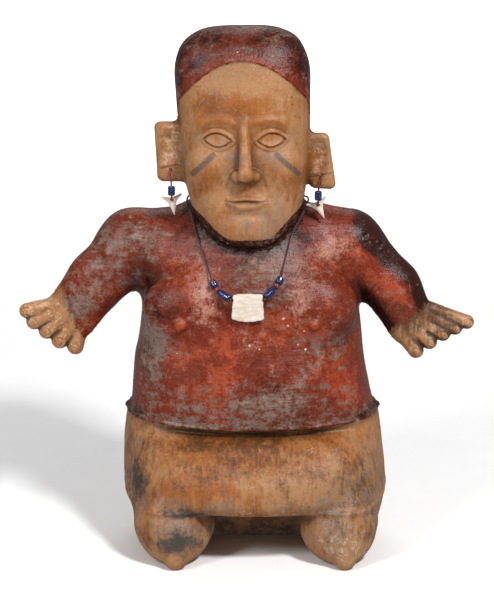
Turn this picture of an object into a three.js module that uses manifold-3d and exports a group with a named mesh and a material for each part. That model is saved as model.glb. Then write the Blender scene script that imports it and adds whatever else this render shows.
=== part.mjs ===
// Seated female figure of fired, slip-painted earthenware, with a string necklace of glass beads
// and a shell plaque, and a bead and a tooth on a thread in each ear.
// Millimetres, +Z up. The figure faces -Y and stands on z = 0. Left and right are the viewer's.
import * as THREE from 'three';
import { mergeVertices } from 'three/addons/utils/BufferGeometryUtils.js';
import Module from 'manifold-3d';

const wasm = await Module();
wasm.setup();

// Driving dimensions in millimetres.
const FIGURE_HEIGHT = 400;
const STAND_OFF = 0.9; // between the clay and what hangs on it
const BEAD_GAP = 1.2; // between neighbouring beads, which stand at an angle to each other
const KNOT_GAP = 0.4; // between a string's end and its knot
const STRING_DIAMETER = 1.5;
const THREAD_DIAMETER = 1.6;
const BORE_CLEARANCE = 0.6; // radial, round a string in a bead, plaque, tooth or ear lobe
const BEAD_DIAMETER = 6.3;
const LONG_BEAD_LENGTH = 10.5;
const END_BEAD_LENGTH = 5.6;
const SPACER_DIAMETER = 4.8;
const SPACER_LENGTH = 3.2;
const EAR_BEAD_DIAMETER = 5.6;
const EAR_BEAD_LENGTH = 7.4;
const PLAQUE_TOP_WIDTH = 22.4;
const PLAQUE_BOTTOM_WIDTH = 25;
const PLAQUE_HEIGHT = 19.5;
const PLAQUE_SAG = 2.4; // how far the middle of the lower edge hangs below its corners
const PLAQUE_THICKNESS = 4;
const PLAQUE_BORE_DROP = 4.4; // from the plaque's upper edge to its bore
const TOOTH_LENGTH = 17.2;
const TOOTH_SPAN = 17;
const TOOTH_THICKNESS = 2.6;
const TOOTH_HOLE_DROP = 3.6;
const KNOT_RADIUS = 2;
const THREAD_BEND = 3.4; // radius of the thread's bends
const THREAD_DROP = 11.5; // from the hole in the lobe to the bead

// The surface of the figure is followed on a grid, then thinned to this many triangles.
// Pitches are in hundredths of the height; the fine one is for the face and the hands.
const PITCH = 0.95;
const FINE_PITCH = 0.55;
const FIGURE_TRIANGLES = 6000;

// Everything of clay is given in hundredths of the figure's height.
const UNIT = FIGURE_HEIGHT / 100;

const { abs, hypot, min, max, sign } = Math;
const clamp = (v, low, high) => min(max(v, low), high);
const mix = (a, b, t) => a + (b - a) * t;
const ease = (low, high, v) => {
  const t = clamp((v - low) / (high - low), 0, 1);
  return t * t * (3 - 2 * t);
};

// Soft union and soft cut of two distances, rounded over about k.
function join(a, b, k) {
  const h = max(k - abs(a - b), 0) / k;
  return min(a, b) - (h * h * k) / 4;
}
const cut = (a, b, k) => -join(-a, b, k);

// A smooth curve through rows of [z, value, value, ...], held at its ends. The last z is remembered.
function through(rows) {
  const last = rows.length - 1;
  const slopes = rows.map((row, i) => {
    const before = rows[max(i - 1, 0)];
    const after = rows[min(i + 1, last)];
    return row.map((_, k) => (after[k] - before[k]) / (after[0] - before[0]));
  });
  const values = rows[0].slice(1);
  let known = NaN;
  return (z) => {
    if (z === known) return values;
    known = z;
    const at = clamp(z, rows[0][0], rows[last][0]);
    let i = 0;
    while (i < last - 1 && at > rows[i + 1][0]) i += 1;
    const span = rows[i + 1][0] - rows[i][0];
    const t = (at - rows[i][0]) / span;
    const t2 = t * t;
    const t3 = t2 * t;
    for (let k = 1; k <= values.length; k += 1) {
      values[k - 1] = (2 * t3 - 3 * t2 + 1) * rows[i][k] + (t3 - 2 * t2 + t) * span * slopes[i][k]
        + (3 * t2 - 2 * t3) * rows[i + 1][k] + (t3 - t2) * span * slopes[i + 1][k];
    }
    return values;
  };
}

// A column whose section at each height is a rounded rectangle of exponent n.
// Rows are [z, half width, reach to the front, reach to the back].
function column(rows, n, low, high, lowRound, highRound) {
  const section = through(rows);
  return (x, y, z) => {
    const [half, front, back] = section(z);
    const depth = y < 0 ? front : back;
    const [u, v] = [abs(x) / half, abs(y) / depth];
    const r = (u ** n + v ** n) ** (1 / n);
    const steep = hypot(u ** (n - 1) / half, v ** (n - 1) / depth) * max(r, 1e-6) ** (1 - n);
    const side = r < 0.05 ? -min(half, depth) : (r - 1) / steep;
    return cut(cut(side, z - low, lowRound), high - z, highRound);
  };
}

// An ellipsoid, and a limb that tapers between two points: r is its reach across, q in depth.
function ball([cx, cy, cz], [rx, ry, rz]) {
  return (x, y, z) => {
    const [dx, dy, dz] = [x - cx, y - cy, z - cz];
    const k0 = hypot(dx / rx, dy / ry, dz / rz);
    const k1 = hypot(dx / rx ** 2, dy / ry ** 2, dz / rz ** 2);
    return k1 < 1e-6 ? -min(rx, ry, rz) : (k0 * (k0 - 1)) / k1;
  };
}
function limb([ax, ay, az], [bx, by, bz], [ra, rb], [qa, qb] = [ra, rb]) {
  const [ex, ey, ez] = [bx - ax, by - ay, bz - az];
  const square = ex * ex + ey * ey + ez * ez;
  return (x, y, z) => {
    const t = clamp(((x - ax) * ex + (y - ay) * ey + (z - az) * ez) / square, 0, 1);
    const across = hypot(x - ax - t * ex, z - az - t * ez);
    const deep = y - ay - t * ey;
    const [r, q] = [mix(ra, rb, t), mix(qa, qb, t)];
    const k0 = hypot(across / r, deep / q);
    const k1 = hypot(across / r ** 2, deep / q ** 2);
    return k1 < 1e-6 ? -min(r, q) : (k0 * (k0 - 1)) / k1;
  };
}
function roundedBox([cx, cy, cz], [hx, hy, hz], r, lean) {
  return (x, y, z) => {
    const u = abs(x - cx - lean * (z - cz)) - hx + r;
    const v = abs(y - cy) - hy + r;
    const w = abs(z - cz) - hz + r;
    return hypot(max(u, 0), max(v, 0), max(w, 0)) + min(max(u, v, w), 0) - r;
  };
}
const bell = (distance, width) => Math.exp(-((distance / width) ** 2));

// Below the chest the body swings a little to the right.
const swing = (z) => 0.6 * ease(38, 22, z);

// The trunk: belly, chest, shoulders' root and neck.
const trunk = column([
  [21.5, 22.2, 15.6, 13.4],
  [25.4, 23.8, 18.2, 14.2],
  [29, 23.4, 18.7, 14.1],
  [33, 22.8, 18.4, 13.7],
  [38, 22.1, 17.6, 13.2],
  [44, 21.3, 16.3, 12.6],
  [50, 20.3, 15, 12],
  [55, 18.4, 13.2, 11.2],
  [59, 15.6, 11.2, 10],
  [62.5, 12.4, 9.4, 8.9],
  [66, 10.6, 8.2, 8.3],
  [71, 10.2, 8, 8.2],
], 2.45, 24.3, 71, 1.6, 1);

// The seat behind, the skirt over the lap, and the two stumps of the folded legs.
const seat = column([
  [-3, 13, 3, 9],
  [0, 18.6, 5.5, 13.6],
  [2.5, 21.4, 7.5, 16.6],
  [6, 23.2, 9.5, 18.4],
  [10, 24.2, 11.5, 18.8],
  [15, 24.6, 14, 18],
  [20, 24.5, 16, 16.2],
  [26, 23.9, 16.6, 14.4],
], 2.5, -3, 25.2, 1, 1.6);
const skirt = column([
  [8, 23.4, 24.2, 9],
  [10.4, 24.3, 25.2, 9],
  [13, 24.7, 25.8, 9],
  [16, 24.8, 25.3, 9],
  [19, 24.6, 23.6, 9],
  [21.5, 24.3, 21, 9],
  [24, 24, 17.8, 9],
  [26, 23.7, 16.2, 9],
], 2.9, 10.2, 25.2, 2.2, 1.6);
function leg(x, toeX, wide) {
  const thigh = limb([x, -7, 9.4], [x, -18.3, 6.3], [8.1 * wide, 6.5 * wide]);
  const toe = limb([x, -18.3, 6.3], [toeX, -24.4, 1.9], [6 * wide, 2.1]);
  return (px, py, pz) => join(thigh(px, py, pz), toe(px, py, pz), 2.4);
}
const leftLeg = leg(-14.2, -14.6, 1);
const rightLeg = leg(15.5, 17.2, 1.13);

// Each arm leaves the shoulder level, turns down and flattens into a short fan of fingers.
const FINGER_RADIUS = 1.2;
const FINGER_DEPTH = 1.35;
function arm({ root, shoulder, forearm, wrist, fingers }) {
  const forms = [
    [limb(root.at, shoulder.at, [root.r, shoulder.r], [root.q, shoulder.q]), 3],
    [limb(shoulder.at, forearm.at, [shoulder.r, forearm.r], [shoulder.q, forearm.q]), 2],
    [limb(forearm.at, wrist.at, [forearm.r, wrist.r], [forearm.q, wrist.q]), 2],
  ];
  for (const [bx, bz, tx, tz] of fingers) {
    const [base, tip] = [[bx, wrist.at[1] - 0.4, bz], [tx, wrist.at[1] - 1, tz]];
    const r = [FINGER_RADIUS, FINGER_RADIUS];
    forms.push([limb(base, tip, r, [FINGER_DEPTH * 1.25, FINGER_DEPTH]), 0.7]);
  }
  return (x, y, z) => forms.reduce((d, [form, k]) => join(d, form(x, y, z), k), 1e3);
}
const leftArm = arm({
  root: { at: [-13.5, 0.6, 57.2], r: 8, q: 7.8 },
  shoulder: { at: [-22.7, 0, 57.7], r: 6.6, q: 6.4 },
  forearm: { at: [-29.6, -1.6, 50.7], r: 5.5, q: 4.6 },
  wrist: { at: [-34.4, -2.4, 44.5], r: 5.3, q: 2 },
  fingers: [
    [-38.5, 46, -43.6, 45],
    [-37.4, 44.8, -42.2, 42.8],
    [-36.2, 43.3, -39.7, 40.9],
    [-34.8, 41.7, -37.2, 38.9],
    [-33.1, 40.7, -34.1, 37.7],
  ],
});
const rightArm = arm({
  root: { at: [13.5, 0.6, 57.4], r: 8.1, q: 7.8 },
  shoulder: { at: [19, 0, 57.3], r: 6.7, q: 6.4 },
  forearm: { at: [27.6, -1.6, 49.4], r: 5.15, q: 4.4 },
  wrist: { at: [31.4, -2.4, 42.8], r: 4.9, q: 2 },
  fingers: [
    [36.6, 44.9, 42.4, 42.7],
    [35, 44.1, 40.1, 41.5],
    [33.5, 42.7, 37.8, 40.3],
    [31.7, 41.1, 35.2, 38.7],
    [30.2, 39.5, 32.5, 36.9],
  ],
});

// The head leans a little to the left, and is carried forward of the neck.
const HEAD_Y = -4;
const CAP_STEP = 0.3; // the cap stands this far out from the forehead
const HEAD_TOP = 100 - CAP_STEP;
const headX = (z) => -0.4 - 0.032 * (z - 61);
const skull = column([
  [57.4, 3, 7, 4],
  [60, 6.7, 9.4, 7],
  [62.8, 9, 10.1, 9],
  [66, 10.5, 10.3, 10.3],
  [70, 11.4, 10.1, 11],
  [75, 12, 9.8, 11.4],
  [81, 12.2, 9.4, 11.7],
  [88, 12.4, 8.9, 11.8],
  [94, 12.6, 8.5, 11.6],
  [101, 12.6, 8.2, 11.2],
], 2.65, 58.2, HEAD_TOP, 3, 9.8);

// The cap of hair frames the forehead in an arch, and falls behind the ears to the nape.
function capEdge(x, y) {
  const arch = 94 - 7.4 * (x / 12) ** 2;
  return mix(arch, 66.5, ease(-8.5, 0.5, y));
}

// A calm, plain face: eyes at half the head's height, the nose and mouth by thirds.
const EYE = { x: 5, z: 79.4, half: 2.5, open: 1.2 };
const MOUTH = { z: 68.1, half: 4 };
const NOSE = [
  { form: limb([0, -12.9, 82.6], [0, -15.9, 73.5], [0.8, 1.2], [1, 1.5]), soft: 1.4 },
  { form: ball([-1.7, -14.5, 72.9], [1.1, 1.2, 1]), soft: 0.7 },
  { form: ball([1.7, -14.5, 72.9], [1.1, 1.2, 1]), soft: 0.7 },
];
const FLESH = [
  { form: ball([-6.8, -10.6, 75.2], [3.6, 3.1, 3.6]), soft: 3 },
  { form: ball([6.8, -10.6, 75.2], [3.6, 3.1, 3.6]), soft: 3 },
  { form: ball([0, -11.8, 63.2], [4, 2.6, 2.6]), soft: 3 },
];

// How far the brows, the eyes and the lips stand out from the face.
function relief(x, z) {
  const side = abs(x) - EYE.x;
  const brow = 83.2 - 0.08 * (side + 0.4) ** 2;
  let h = 0.42 * bell(z - brow, 0.85) * ease(0.6, 2.4, abs(x)) * ease(9.4, 7.4, abs(x));
  h -= 0.75 * bell(side, 3.7) * bell(z - 79.6, 2.3);
  const lens = abs(z - EYE.z) / (EYE.open * max(1 - (side / EYE.half) ** 2, 0.02));
  h += 0.55 * ease(1.3, 0.5, lens);
  const full = max(1 - (x / MOUTH.half) ** 2, 0);
  h += 0.62 * full ** 0.6 * bell(z - MOUTH.z - 0.62 * full, 0.62);
  h += 0.68 * full ** 0.6 * bell(z - MOUTH.z + 0.8 * full, 0.72);
  h -= 0.2 * full * bell(z - MOUTH.z, 0.4);
  h -= 0.16 * bell(x, 0.5) * bell(z - 70.6, 0.9);
  return h - 0.25 * bell(x, 2.6) * bell(z - 65.6, 0.7);
}
function head(px, y, z) {
  const x = px - headX(z);
  let d = skull(x, y - HEAD_Y, z) - CAP_STEP * ease(-0.3, 0.3, z - capEdge(x, y));
  if (y > -7) return d;
  for (const { form, soft } of FLESH) d = join(d, form(x, y, z), soft);
  d -= relief(x, z) * ease(-8, -11, y);
  for (const { form, soft } of NOSE) d = join(d, form(x, y, z), soft);
  return d;
}

// The ears are flat flaps facing forward, hollowed a little, with a hole through each lobe.
const EARS = {
  left: { side: -1, x: -15.1, z: 76.4, half: [2.75, 1.2, 5.65], lean: -0.05, hole: [-15.04, 73] },
  right: { side: 1, x: 13.1, z: 74.7, half: [2.5, 1.2, 5.35], lean: -0.13, hole: [13.47, 72.06] },
};
const EAR_Y = -5.4;
function ear({ side, x, z, half, lean }) {
  const flap = roundedBox([x, EAR_Y, z], half, 1.15, lean);
  const hollow = ball([x + side * 0.1, EAR_Y - half[1] - 0.9, z + 1.2], [1.7, 1.5, 3]);
  return (px, py, pz) => cut(flap(px, py, pz), hollow(px, py, pz), 0.8);
}
const leftEar = ear(EARS.left);
const rightEar = ear(EARS.right);

// Breasts, nipples, and the worn pellets on each shoulder.
const BREAST = { x: 12.2, y: -10.4, z: 47.2, r: [8, 5.7, 6.9] };
const breasts = [-1, 1].map((s) => ball([s * BREAST.x, BREAST.y, BREAST.z], BREAST.r));
const nipples = [-13, 12.1].map((x) => ball([x, -15.9, 45], [1.1, 0.9, 1.1]));
const PELLETS = [[-22.6, 60.2], [-27.6, 56.8], [22, 60.2], [24.9, 58.2]];
const PELLET = { width: 0.85, height: 0.42 };

// A raised line round the waist, with a nub at each side, and the hem that the legs come out of.
const WAIST = { z: 25.1, rise: 0.7, width: 0.42, height: 0.34 };
const nubs = [-24.2, 24.2].map((x) => ball([x, -1, 25.8], [0.85, 0.9, 0.7]));
const HEM = { z: 10.6, width: 0.5, height: 0.25 };

// The signed distance from the clay, in hundredths of the height. Forms that are too far off to
// matter at a height are passed over.
function clay(px, y, z) {
  const x = px - swing(z);
  let d = 1e3;
  if (z < 32) {
    d = join(seat(x, y, z), skirt(x, y, z), 3);
    d = join(d, join(leftLeg(x, y, z), rightLeg(x, y, z), 1), 1.5);
    d -= HEM.height * bell(z - HEM.z, HEM.width) * ease(6, -4, y);
  }
  if (z > 17) {
    let upper = trunk(x, y, z);
    if (y < 0) {
      for (const breast of breasts) upper = join(upper, breast(px, y, z), 3);
      for (const nipple of nipples) upper = join(upper, nipple(px, y, z), 0.6);
    }
    if (z > 30 && px < 0) upper = join(upper, leftArm(px, y, z), 5);
    if (z > 30 && px >= 0) upper = join(upper, rightArm(px, y, z), 2.6);
    if (y < 0 && z > 54 && z < 63) {
      for (const [cx, cz] of PELLETS) upper -= PELLET.height * bell(hypot(px - cx, z - cz), PELLET.width);
    }
    d = join(d, upper, 0.9);
    const waist = WAIST.z + WAIST.rise * ease(0, 24, abs(x));
    d -= WAIST.height * bell(z - waist, WAIST.width);
    for (const nub of nubs) d = join(d, nub(x, y, z), 0.7);
  }
  if (z > 52) {
    const flap = px < 0 ? leftEar(px, y, z) : rightEar(px, y, z);
    d = join(d, join(head(px, y, z), flap, 1.3), 1.1);
  }
  return d;
}

function slopeOf(x, y, z) {
  const e = 0.02;
  return [
    (clay(x + e, y, z) - clay(x - e, y, z)) / (2 * e),
    (clay(x, y + e, z) - clay(x, y - e, z)) / (2 * e),
    (clay(x, y, z + e) - clay(x, y, z - e)) / (2 * e),
  ];
}

// Moves a point along the slope until it stands at that distance from the clay.
function settle(x, y, z, distance = 0, rounds = 6) {
  for (let i = 0; i < rounds; i += 1) {
    const [gx, gy, gz] = slopeOf(x, y, z);
    const k = (clay(x, y, z) - distance) / max(gx * gx + gy * gy + gz * gz, 0.05);
    x -= k * gx;
    y -= k * gy;
    z -= k * gz;
  }
  return [x, y, z];
}

// Grid lines from low to high, closer together inside the fine stretches.
function gridLines(low, high, fine) {
  const lines = [low];
  while (lines.at(-1) < high) {
    const at = lines.at(-1);
    const close = fine.some(([from, to]) => at >= from && at < to);
    lines.push(at + (close ? FINE_PITCH : PITCH));
  }
  return lines;
}

// A closed mesh of the clay's surface: one point in each crossed cell, and a face on each crossed
// edge. Blocks of the grid that are well clear of the surface are filled from their middle.
const BLOCK = 4;
function traceSurface(xs, ys, zs) {
  const [nx, ny, nz] = [xs.length, ys.length, zs.length];
  const at = (i, j, k) => (k * ny + j) * nx + i;
  const value = new Float64Array(nx * ny * nz);
  const middle = (lines, i) => (lines[i] + lines[min(i + BLOCK, lines.length) - 1]) / 2;
  for (let k0 = 0; k0 < nz; k0 += BLOCK) {
    const near = new Map();
    for (let j0 = 0; j0 < ny; j0 += BLOCK) {
      for (let i0 = 0; i0 < nx; i0 += BLOCK) {
        const d = clay(middle(xs, i0), middle(ys, j0), middle(zs, k0));
        near.set(i0 * ny + j0, abs(d) < 2.2 * BLOCK * PITCH ? null : d);
      }
    }
    for (let k = k0; k < min(k0 + BLOCK, nz); k += 1) {
      for (let j = 0; j < ny; j += 1) {
        for (let i = 0; i < nx; i += 1) {
          const far = near.get((i - (i % BLOCK)) * ny + j - (j % BLOCK));
          value[at(i, j, k)] = far ?? clay(xs[i], ys[j], zs[k]);
        }
      }
    }
  }
  const corners = [...Array(8).keys()].map((c) => [c & 1, (c >> 1) & 1, (c >> 2) & 1]);
  const offsets = corners.map((c) => at(...c));
  const edges = [];
  for (let a = 0; a < 8; a += 1) {
    for (const bit of [1, 2, 4]) if (!(a & bit)) edges.push([a, a | bit]);
  }
  const points = [];
  const cell = new Int32Array(nx * ny * nz).fill(-1);
  for (let k = 0; k < nz - 1; k += 1) {
    for (let j = 0; j < ny - 1; j += 1) {
      for (let i = 0; i < nx - 1; i += 1) {
        const here = at(i, j, k);
        const inside = offsets.filter((o) => value[here + o] < 0).length;
        if (inside === 0 || inside === 8) continue;
        const sum = [0, 0, 0];
        let crossings = 0;
        for (const [a, b] of edges) {
          const [va, vb] = [value[here + offsets[a]], value[here + offsets[b]]];
          if (va < 0 === vb < 0) continue;
          const t = va / (va - vb);
          for (let n = 0; n < 3; n += 1) sum[n] += mix(corners[a][n], corners[b][n], t);
          crossings += 1;
        }
        const [u, v, w] = sum.map((total) => total / crossings);
        cell[here] = points.length;
        points.push(settle(mix(xs[i], xs[i + 1], u), mix(ys[j], ys[j + 1], v), mix(zs[k], zs[k + 1], w), 0, 2));
      }
    }
  }
  const triangles = [];
  const steps = [at(1, 0, 0), at(0, 1, 0), at(0, 0, 1)];
  const apart = (p, q) => hypot(...minus(points[p], points[q]));
  for (let k = 1; k < nz - 1; k += 1) {
    for (let j = 1; j < ny - 1; j += 1) {
      for (let i = 1; i < nx - 1; i += 1) {
        const here = at(i, j, k);
        for (let axis = 0; axis < 3; axis += 1) {
          const inside = value[here] < 0;
          if (inside === value[here + steps[axis]] < 0) continue;
          const [s, t] = [steps[(axis + 1) % 3], steps[(axis + 2) % 3]];
          const ring = [here, here - s, here - s - t, here - t].map((c) => cell[c]);
          if (!inside) ring.reverse();
          const [a, b, c, d] = ring;
          if (apart(a, c) < apart(b, d)) triangles.push([a, b, c], [a, c, d]);
          else triangles.push([b, c, d], [b, d, a]);
        }
      }
    }
  }
  return { points, triangles };
}

// A heap of edges, cheapest first.
class Heap {
  items = [];

  push(item) {
    const { items } = this;
    let i = items.length;
    items.push(item);
    while (i > 0 && items[(i - 1) >> 1].cost > item.cost) {
      items[i] = items[(i - 1) >> 1];
      i = (i - 1) >> 1;
    }
    items[i] = item;
  }

  pop() {
    const { items } = this;
    const top = items[0];
    const item = items.pop();
    let i = 0;
    while (2 * i + 1 < items.length) {
      let child = 2 * i + 1;
      if (child + 1 < items.length && items[child + 1].cost < items[child].cost) child += 1;
      if (items[child].cost >= item.cost) break;
      items[i] = items[child];
      i = child;
    }
    if (items.length) items[i] = item;
    return top;
  }
}

const minus = (a, b) => [a[0] - b[0], a[1] - b[1], a[2] - b[2]];
const dot = (a, b) => a[0] * b[0] + a[1] * b[1] + a[2] * b[2];
const cross = (a, b) => [
  a[1] * b[2] - a[2] * b[1],
  a[2] * b[0] - a[0] * b[2],
  a[0] * b[1] - a[1] * b[0],
];

// The point where a quadric is lowest, if it has a clear one.
function lowest([a, b, c, d, e, f, g, h, i]) {
  const determinant = a * (e * h - f * f) - b * (b * h - f * c) + c * (b * f - e * c);
  if (abs(determinant) < 1e-3 * ((a + e + h) / 3) ** 3) return null;
  return [
    -(d * (e * h - f * f) - b * (g * h - f * i) + c * (g * f - e * i)) / determinant,
    -(a * (g * h - i * f) - d * (b * h - f * c) + c * (b * i - g * c)) / determinant,
    -(a * (e * i - f * g) - b * (b * i - g * c) + d * (b * f - e * c)) / determinant,
  ];
}

// Where the carving is fine, an error counts for more.
function careAt([x, y, z]) {
  const onFace = ease(-9, -12, y) * ease(60, 63, z) * ease(88, 85, z);
  const onHand = ease(30, 33, abs(x));
  return 1 + 7 * onFace + 3 * onHand;
}

// Collapses the edges that change the surface least, until that many triangles are left.
function thin({ points, triangles }, target) {
  const quadrics = points.map(() => new Float64Array(10));
  const fans = points.map(() => new Set());
  triangles.forEach((triangle, index) => {
    const [a, b, c] = triangle.map((i) => points[i]);
    const normal = cross(minus(b, a), minus(c, a));
    const area = hypot(...normal) || 1e-12;
    const [nx, ny, nz] = normal.map((v) => v / area);
    const w = area * careAt(a);
    const p = -(nx * a[0] + ny * a[1] + nz * a[2]);
    const row = [nx * nx, nx * ny, nx * nz, nx * p, ny * ny, ny * nz, ny * p, nz * nz, nz * p, p * p];
    for (const i of triangle) {
      row.forEach((v, k) => { quadrics[i][k] += v * w; });
      fans[i].add(index);
    }
  });
  const errorAt = (q, [x, y, z]) => q[0] * x * x + 2 * q[1] * x * y + 2 * q[2] * x * z + 2 * q[3] * x
    + q[4] * y * y + 2 * q[5] * y * z + 2 * q[6] * y + q[7] * z * z + 2 * q[8] * z + q[9];
  const around = (i) => {
    const found = new Set();
    for (const t of fans[i]) for (const j of triangles[t]) if (j !== i) found.add(j);
    return found;
  };
  const version = new Int32Array(points.length);
  const heap = new Heap();
  const offer = (a, b) => {
    const q = quadrics[a].map((v, k) => v + quadrics[b][k]);
    const middle = points[a].map((v, k) => (v + points[b][k]) / 2);
    const span = hypot(...minus(points[a], points[b]));
    const places = [middle, points[a], points[b]];
    const ideal = lowest(q);
    if (ideal && hypot(...minus(ideal, middle)) < 0.7 * span) places.unshift(ideal);
    let best = null;
    for (const place of places) {
      const cost = errorAt(q, place) + 2e-3 * span ** 3;
      if (!best || cost < best.cost) best = { cost, place };
    }
    heap.push({ ...best, a, b, q, stamp: version[a] + version[b] });
  };
  const folds = (i, other, place) => {
    for (const t of fans[i]) {
      const ring = triangles[t];
      if (ring.includes(other)) continue;
      const before = ring.map((j) => points[j]);
      const after = ring.map((j) => (j === i ? place : points[j]));
      const n0 = cross(minus(before[1], before[0]), minus(before[2], before[0]));
      const n1 = cross(minus(after[1], after[0]), minus(after[2], after[0]));
      const size = hypot(...n1);
      if (dot(n0, n1) < 0.3 * hypot(...n0) * size) return true;
      const longest = max(...after.map((p, k) => hypot(...minus(p, after[(k + 1) % 3]))));
      if (size < 0.12 * longest * longest) return true;
    }
    return false;
  };
  points.forEach((_, a) => { for (const b of around(a)) if (a < b) offer(a, b); });
  let left = triangles.length;
  while (left > target && heap.items.length) {
    const { a, b, q, place, stamp } = heap.pop();
    if (!fans[a] || !fans[b] || stamp !== version[a] + version[b]) continue;
    const [nearA, nearB] = [around(a), around(b)];
    const shared = [...nearA].filter((i) => nearB.has(i));
    if (!nearA.has(b) || shared.length !== 2) continue;
    if (folds(a, b, place) || folds(b, a, place)) continue;
    for (const t of fans[b]) {
      if (fans[a].has(t)) {
        for (const i of triangles[t]) fans[i].delete(t);
        triangles[t] = null;
        left -= 1;
      } else {
        triangles[t] = triangles[t].map((i) => (i === b ? a : i));
        fans[a].add(t);
      }
    }
    fans[b] = null;
    points[a] = place;
    quadrics[a] = q;
    version[a] += 1e4;
    for (const i of around(a)) {
      version[i] += 1;
      for (const j of around(i)) if (i < j || j === a) offer(i, j);
    }
  }
  return { points, triangles: triangles.filter(Boolean) };
}

// Between a three.js geometry and a solid that can be cut.
function solidOf(geometry) {
  const bare = geometry.clone();
  bare.deleteAttribute('normal');
  bare.deleteAttribute('uv');
  const merged = mergeVertices(bare, 1e-4);
  const vertProperties = new Float32Array(merged.attributes.position.array);
  const triVerts = new Uint32Array(merged.index.array);
  return new wasm.Manifold(new wasm.Mesh({ numProp: 3, vertProperties, triVerts }));
}
function geometryOf(solid) {
  const { vertProperties, triVerts } = solid.getMesh();
  const geometry = new THREE.BufferGeometry();
  geometry.setAttribute('position', new THREE.BufferAttribute(new Float32Array(vertProperties), 3));
  geometry.setIndex([...triVerts]);
  geometry.computeVertexNormals();
  return geometry;
}
const cutFrom = (geometry, ...tools) =>
  geometryOf(tools.reduce((left, tool) => left.subtract(solidOf(tool)), solidOf(geometry)));

// Where two parts of the surface touch in a point or an edge, as between two fingers, each side is
// drawn in a little along its own normal.
function part(geometry, distance) {
  const { position, normal } = geometry.attributes;
  const places = new Map();
  for (let i = 0; i < position.count; i += 1) {
    const key = [position.getX(i), position.getY(i), position.getZ(i)].map((v) => v.toFixed(3)).join();
    places.set(key, [...(places.get(key) ?? []), i]);
  }
  for (const group of places.values()) {
    if (group.length < 2) continue;
    for (const i of group) {
      const at = new THREE.Vector3().fromBufferAttribute(position, i);
      at.addScaledVector(new THREE.Vector3().fromBufferAttribute(normal, i), -distance);
      position.setXYZ(i, ...at);
    }
  }
  return geometry;
}

const finish = (color, roughness) => new THREE.MeshStandardMaterial({ color, roughness, metalness: 0 });
const paintedClay = finish(0x8a4430, 0.45);
const blueGlass = finish(0x1b2c66, 0.2);
const redGlass = finish(0x7d2b33, 0.3);
const shell = finish(0xe9dccb, 0.5);
const darkString = finish(0x3a1012, 0.9);
const redThread = finish(0x6e1519, 0.9);

function piece(name, geometry, material) {
  const mesh = new THREE.Mesh(geometry, material);
  mesh.name = name;
  return mesh;
}

// The figure, cut flat where it rests and drilled through both ear lobes.
const THREAD_BORE = THREAD_DIAMETER / 2 + BORE_CLEARANCE;
const EAR_BORE_SIDES = 8;
function lobeDrill({ hole: [x, z] }) {
  const drill = new THREE.CylinderGeometry(THREAD_BORE, THREAD_BORE, 8 * UNIT, EAR_BORE_SIDES);
  return drill.translate(x * UNIT, EAR_Y * UNIT, z * UNIT);
}
function makeFigure() {
  const surface = traceSurface(
    gridLines(-47, 46, [[-46, -31], [-8.5, 7.5], [29, 45]]),
    gridLines(-30, 21.5, [[-18, -12]]),
    gridLines(-4, 102, [[35.5, 48], [64, 84.5]]),
  );
  const { points, triangles } = thin(surface, FIGURE_TRIANGLES);
  const geometry = new THREE.BufferGeometry();
  geometry.setAttribute('position', new THREE.Float32BufferAttribute(points.flat().map((v) => v * UNIT), 3));
  geometry.setIndex(triangles.flat());
  const ground = new THREE.BoxGeometry(FIGURE_HEIGHT, FIGURE_HEIGHT, FIGURE_HEIGHT);
  ground.translate(0, 0, -FIGURE_HEIGHT / 2);
  const drills = [EARS.left, EARS.right].map(lobeDrill);
  return piece('figure', part(cutFrom(geometry, ground, ...drills), 0.1), paintedClay);
}

// Where pieces hang. These points are in millimetres.
const vector = (p) => new THREE.Vector3(...p);
function onClay([x, y, z], distance) {
  return vector(settle(x / UNIT, y / UNIT, z / UNIT, distance / UNIT)).multiplyScalar(UNIT);
}

// A route whose steps are shared evenly among its points, so they are short where points are close.
class Route extends THREE.CatmullRomCurve3 {
  getUtoTmapping(u) {
    return u;
  }
}
function tube(name, points, diameter, stepsEach, material) {
  const sides = 8;
  const rim = [...Array(sides).keys()].map((i) => {
    const angle = (2 * Math.PI * i) / sides;
    return new THREE.Vector2(Math.cos(angle), Math.sin(angle)).multiplyScalar(diameter / 2);
  });
  const form = {
    steps: stepsEach * (points.length - 1),
    bevelEnabled: false,
    extrudePath: new Route(points),
  };
  return piece(name, new THREE.ExtrudeGeometry(new THREE.Shape(rim), form), material);
}

// A bead is turned about the line between its two ends, with a barrel side.
function bead(name, start, end, diameter, bore, material) {
  const half = start.distanceTo(end) / 2;
  const [r, rim] = [diameter / 2, diameter / 2 - 0.15 * diameter];
  const profile = [[bore, -half], [rim, -half], [r, -half * 0.55], [r, half * 0.55], [rim, half], [bore, half]];
  profile.push(profile[0]);
  const turned = new THREE.LatheGeometry(profile.map(([x, y]) => new THREE.Vector2(x, y)), 12);
  const mesh = piece(name, turned, material);
  mesh.position.lerpVectors(start, end, 0.5);
  mesh.quaternion.setFromUnitVectors(new THREE.Vector3(0, 1, 0), end.clone().sub(start).normalize());
  return mesh;
}
function knot(name, at, material) {
  const mesh = piece(name, new THREE.IcosahedronGeometry(KNOT_RADIUS, 1), material);
  mesh.position.copy(at);
  return mesh;
}

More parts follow.
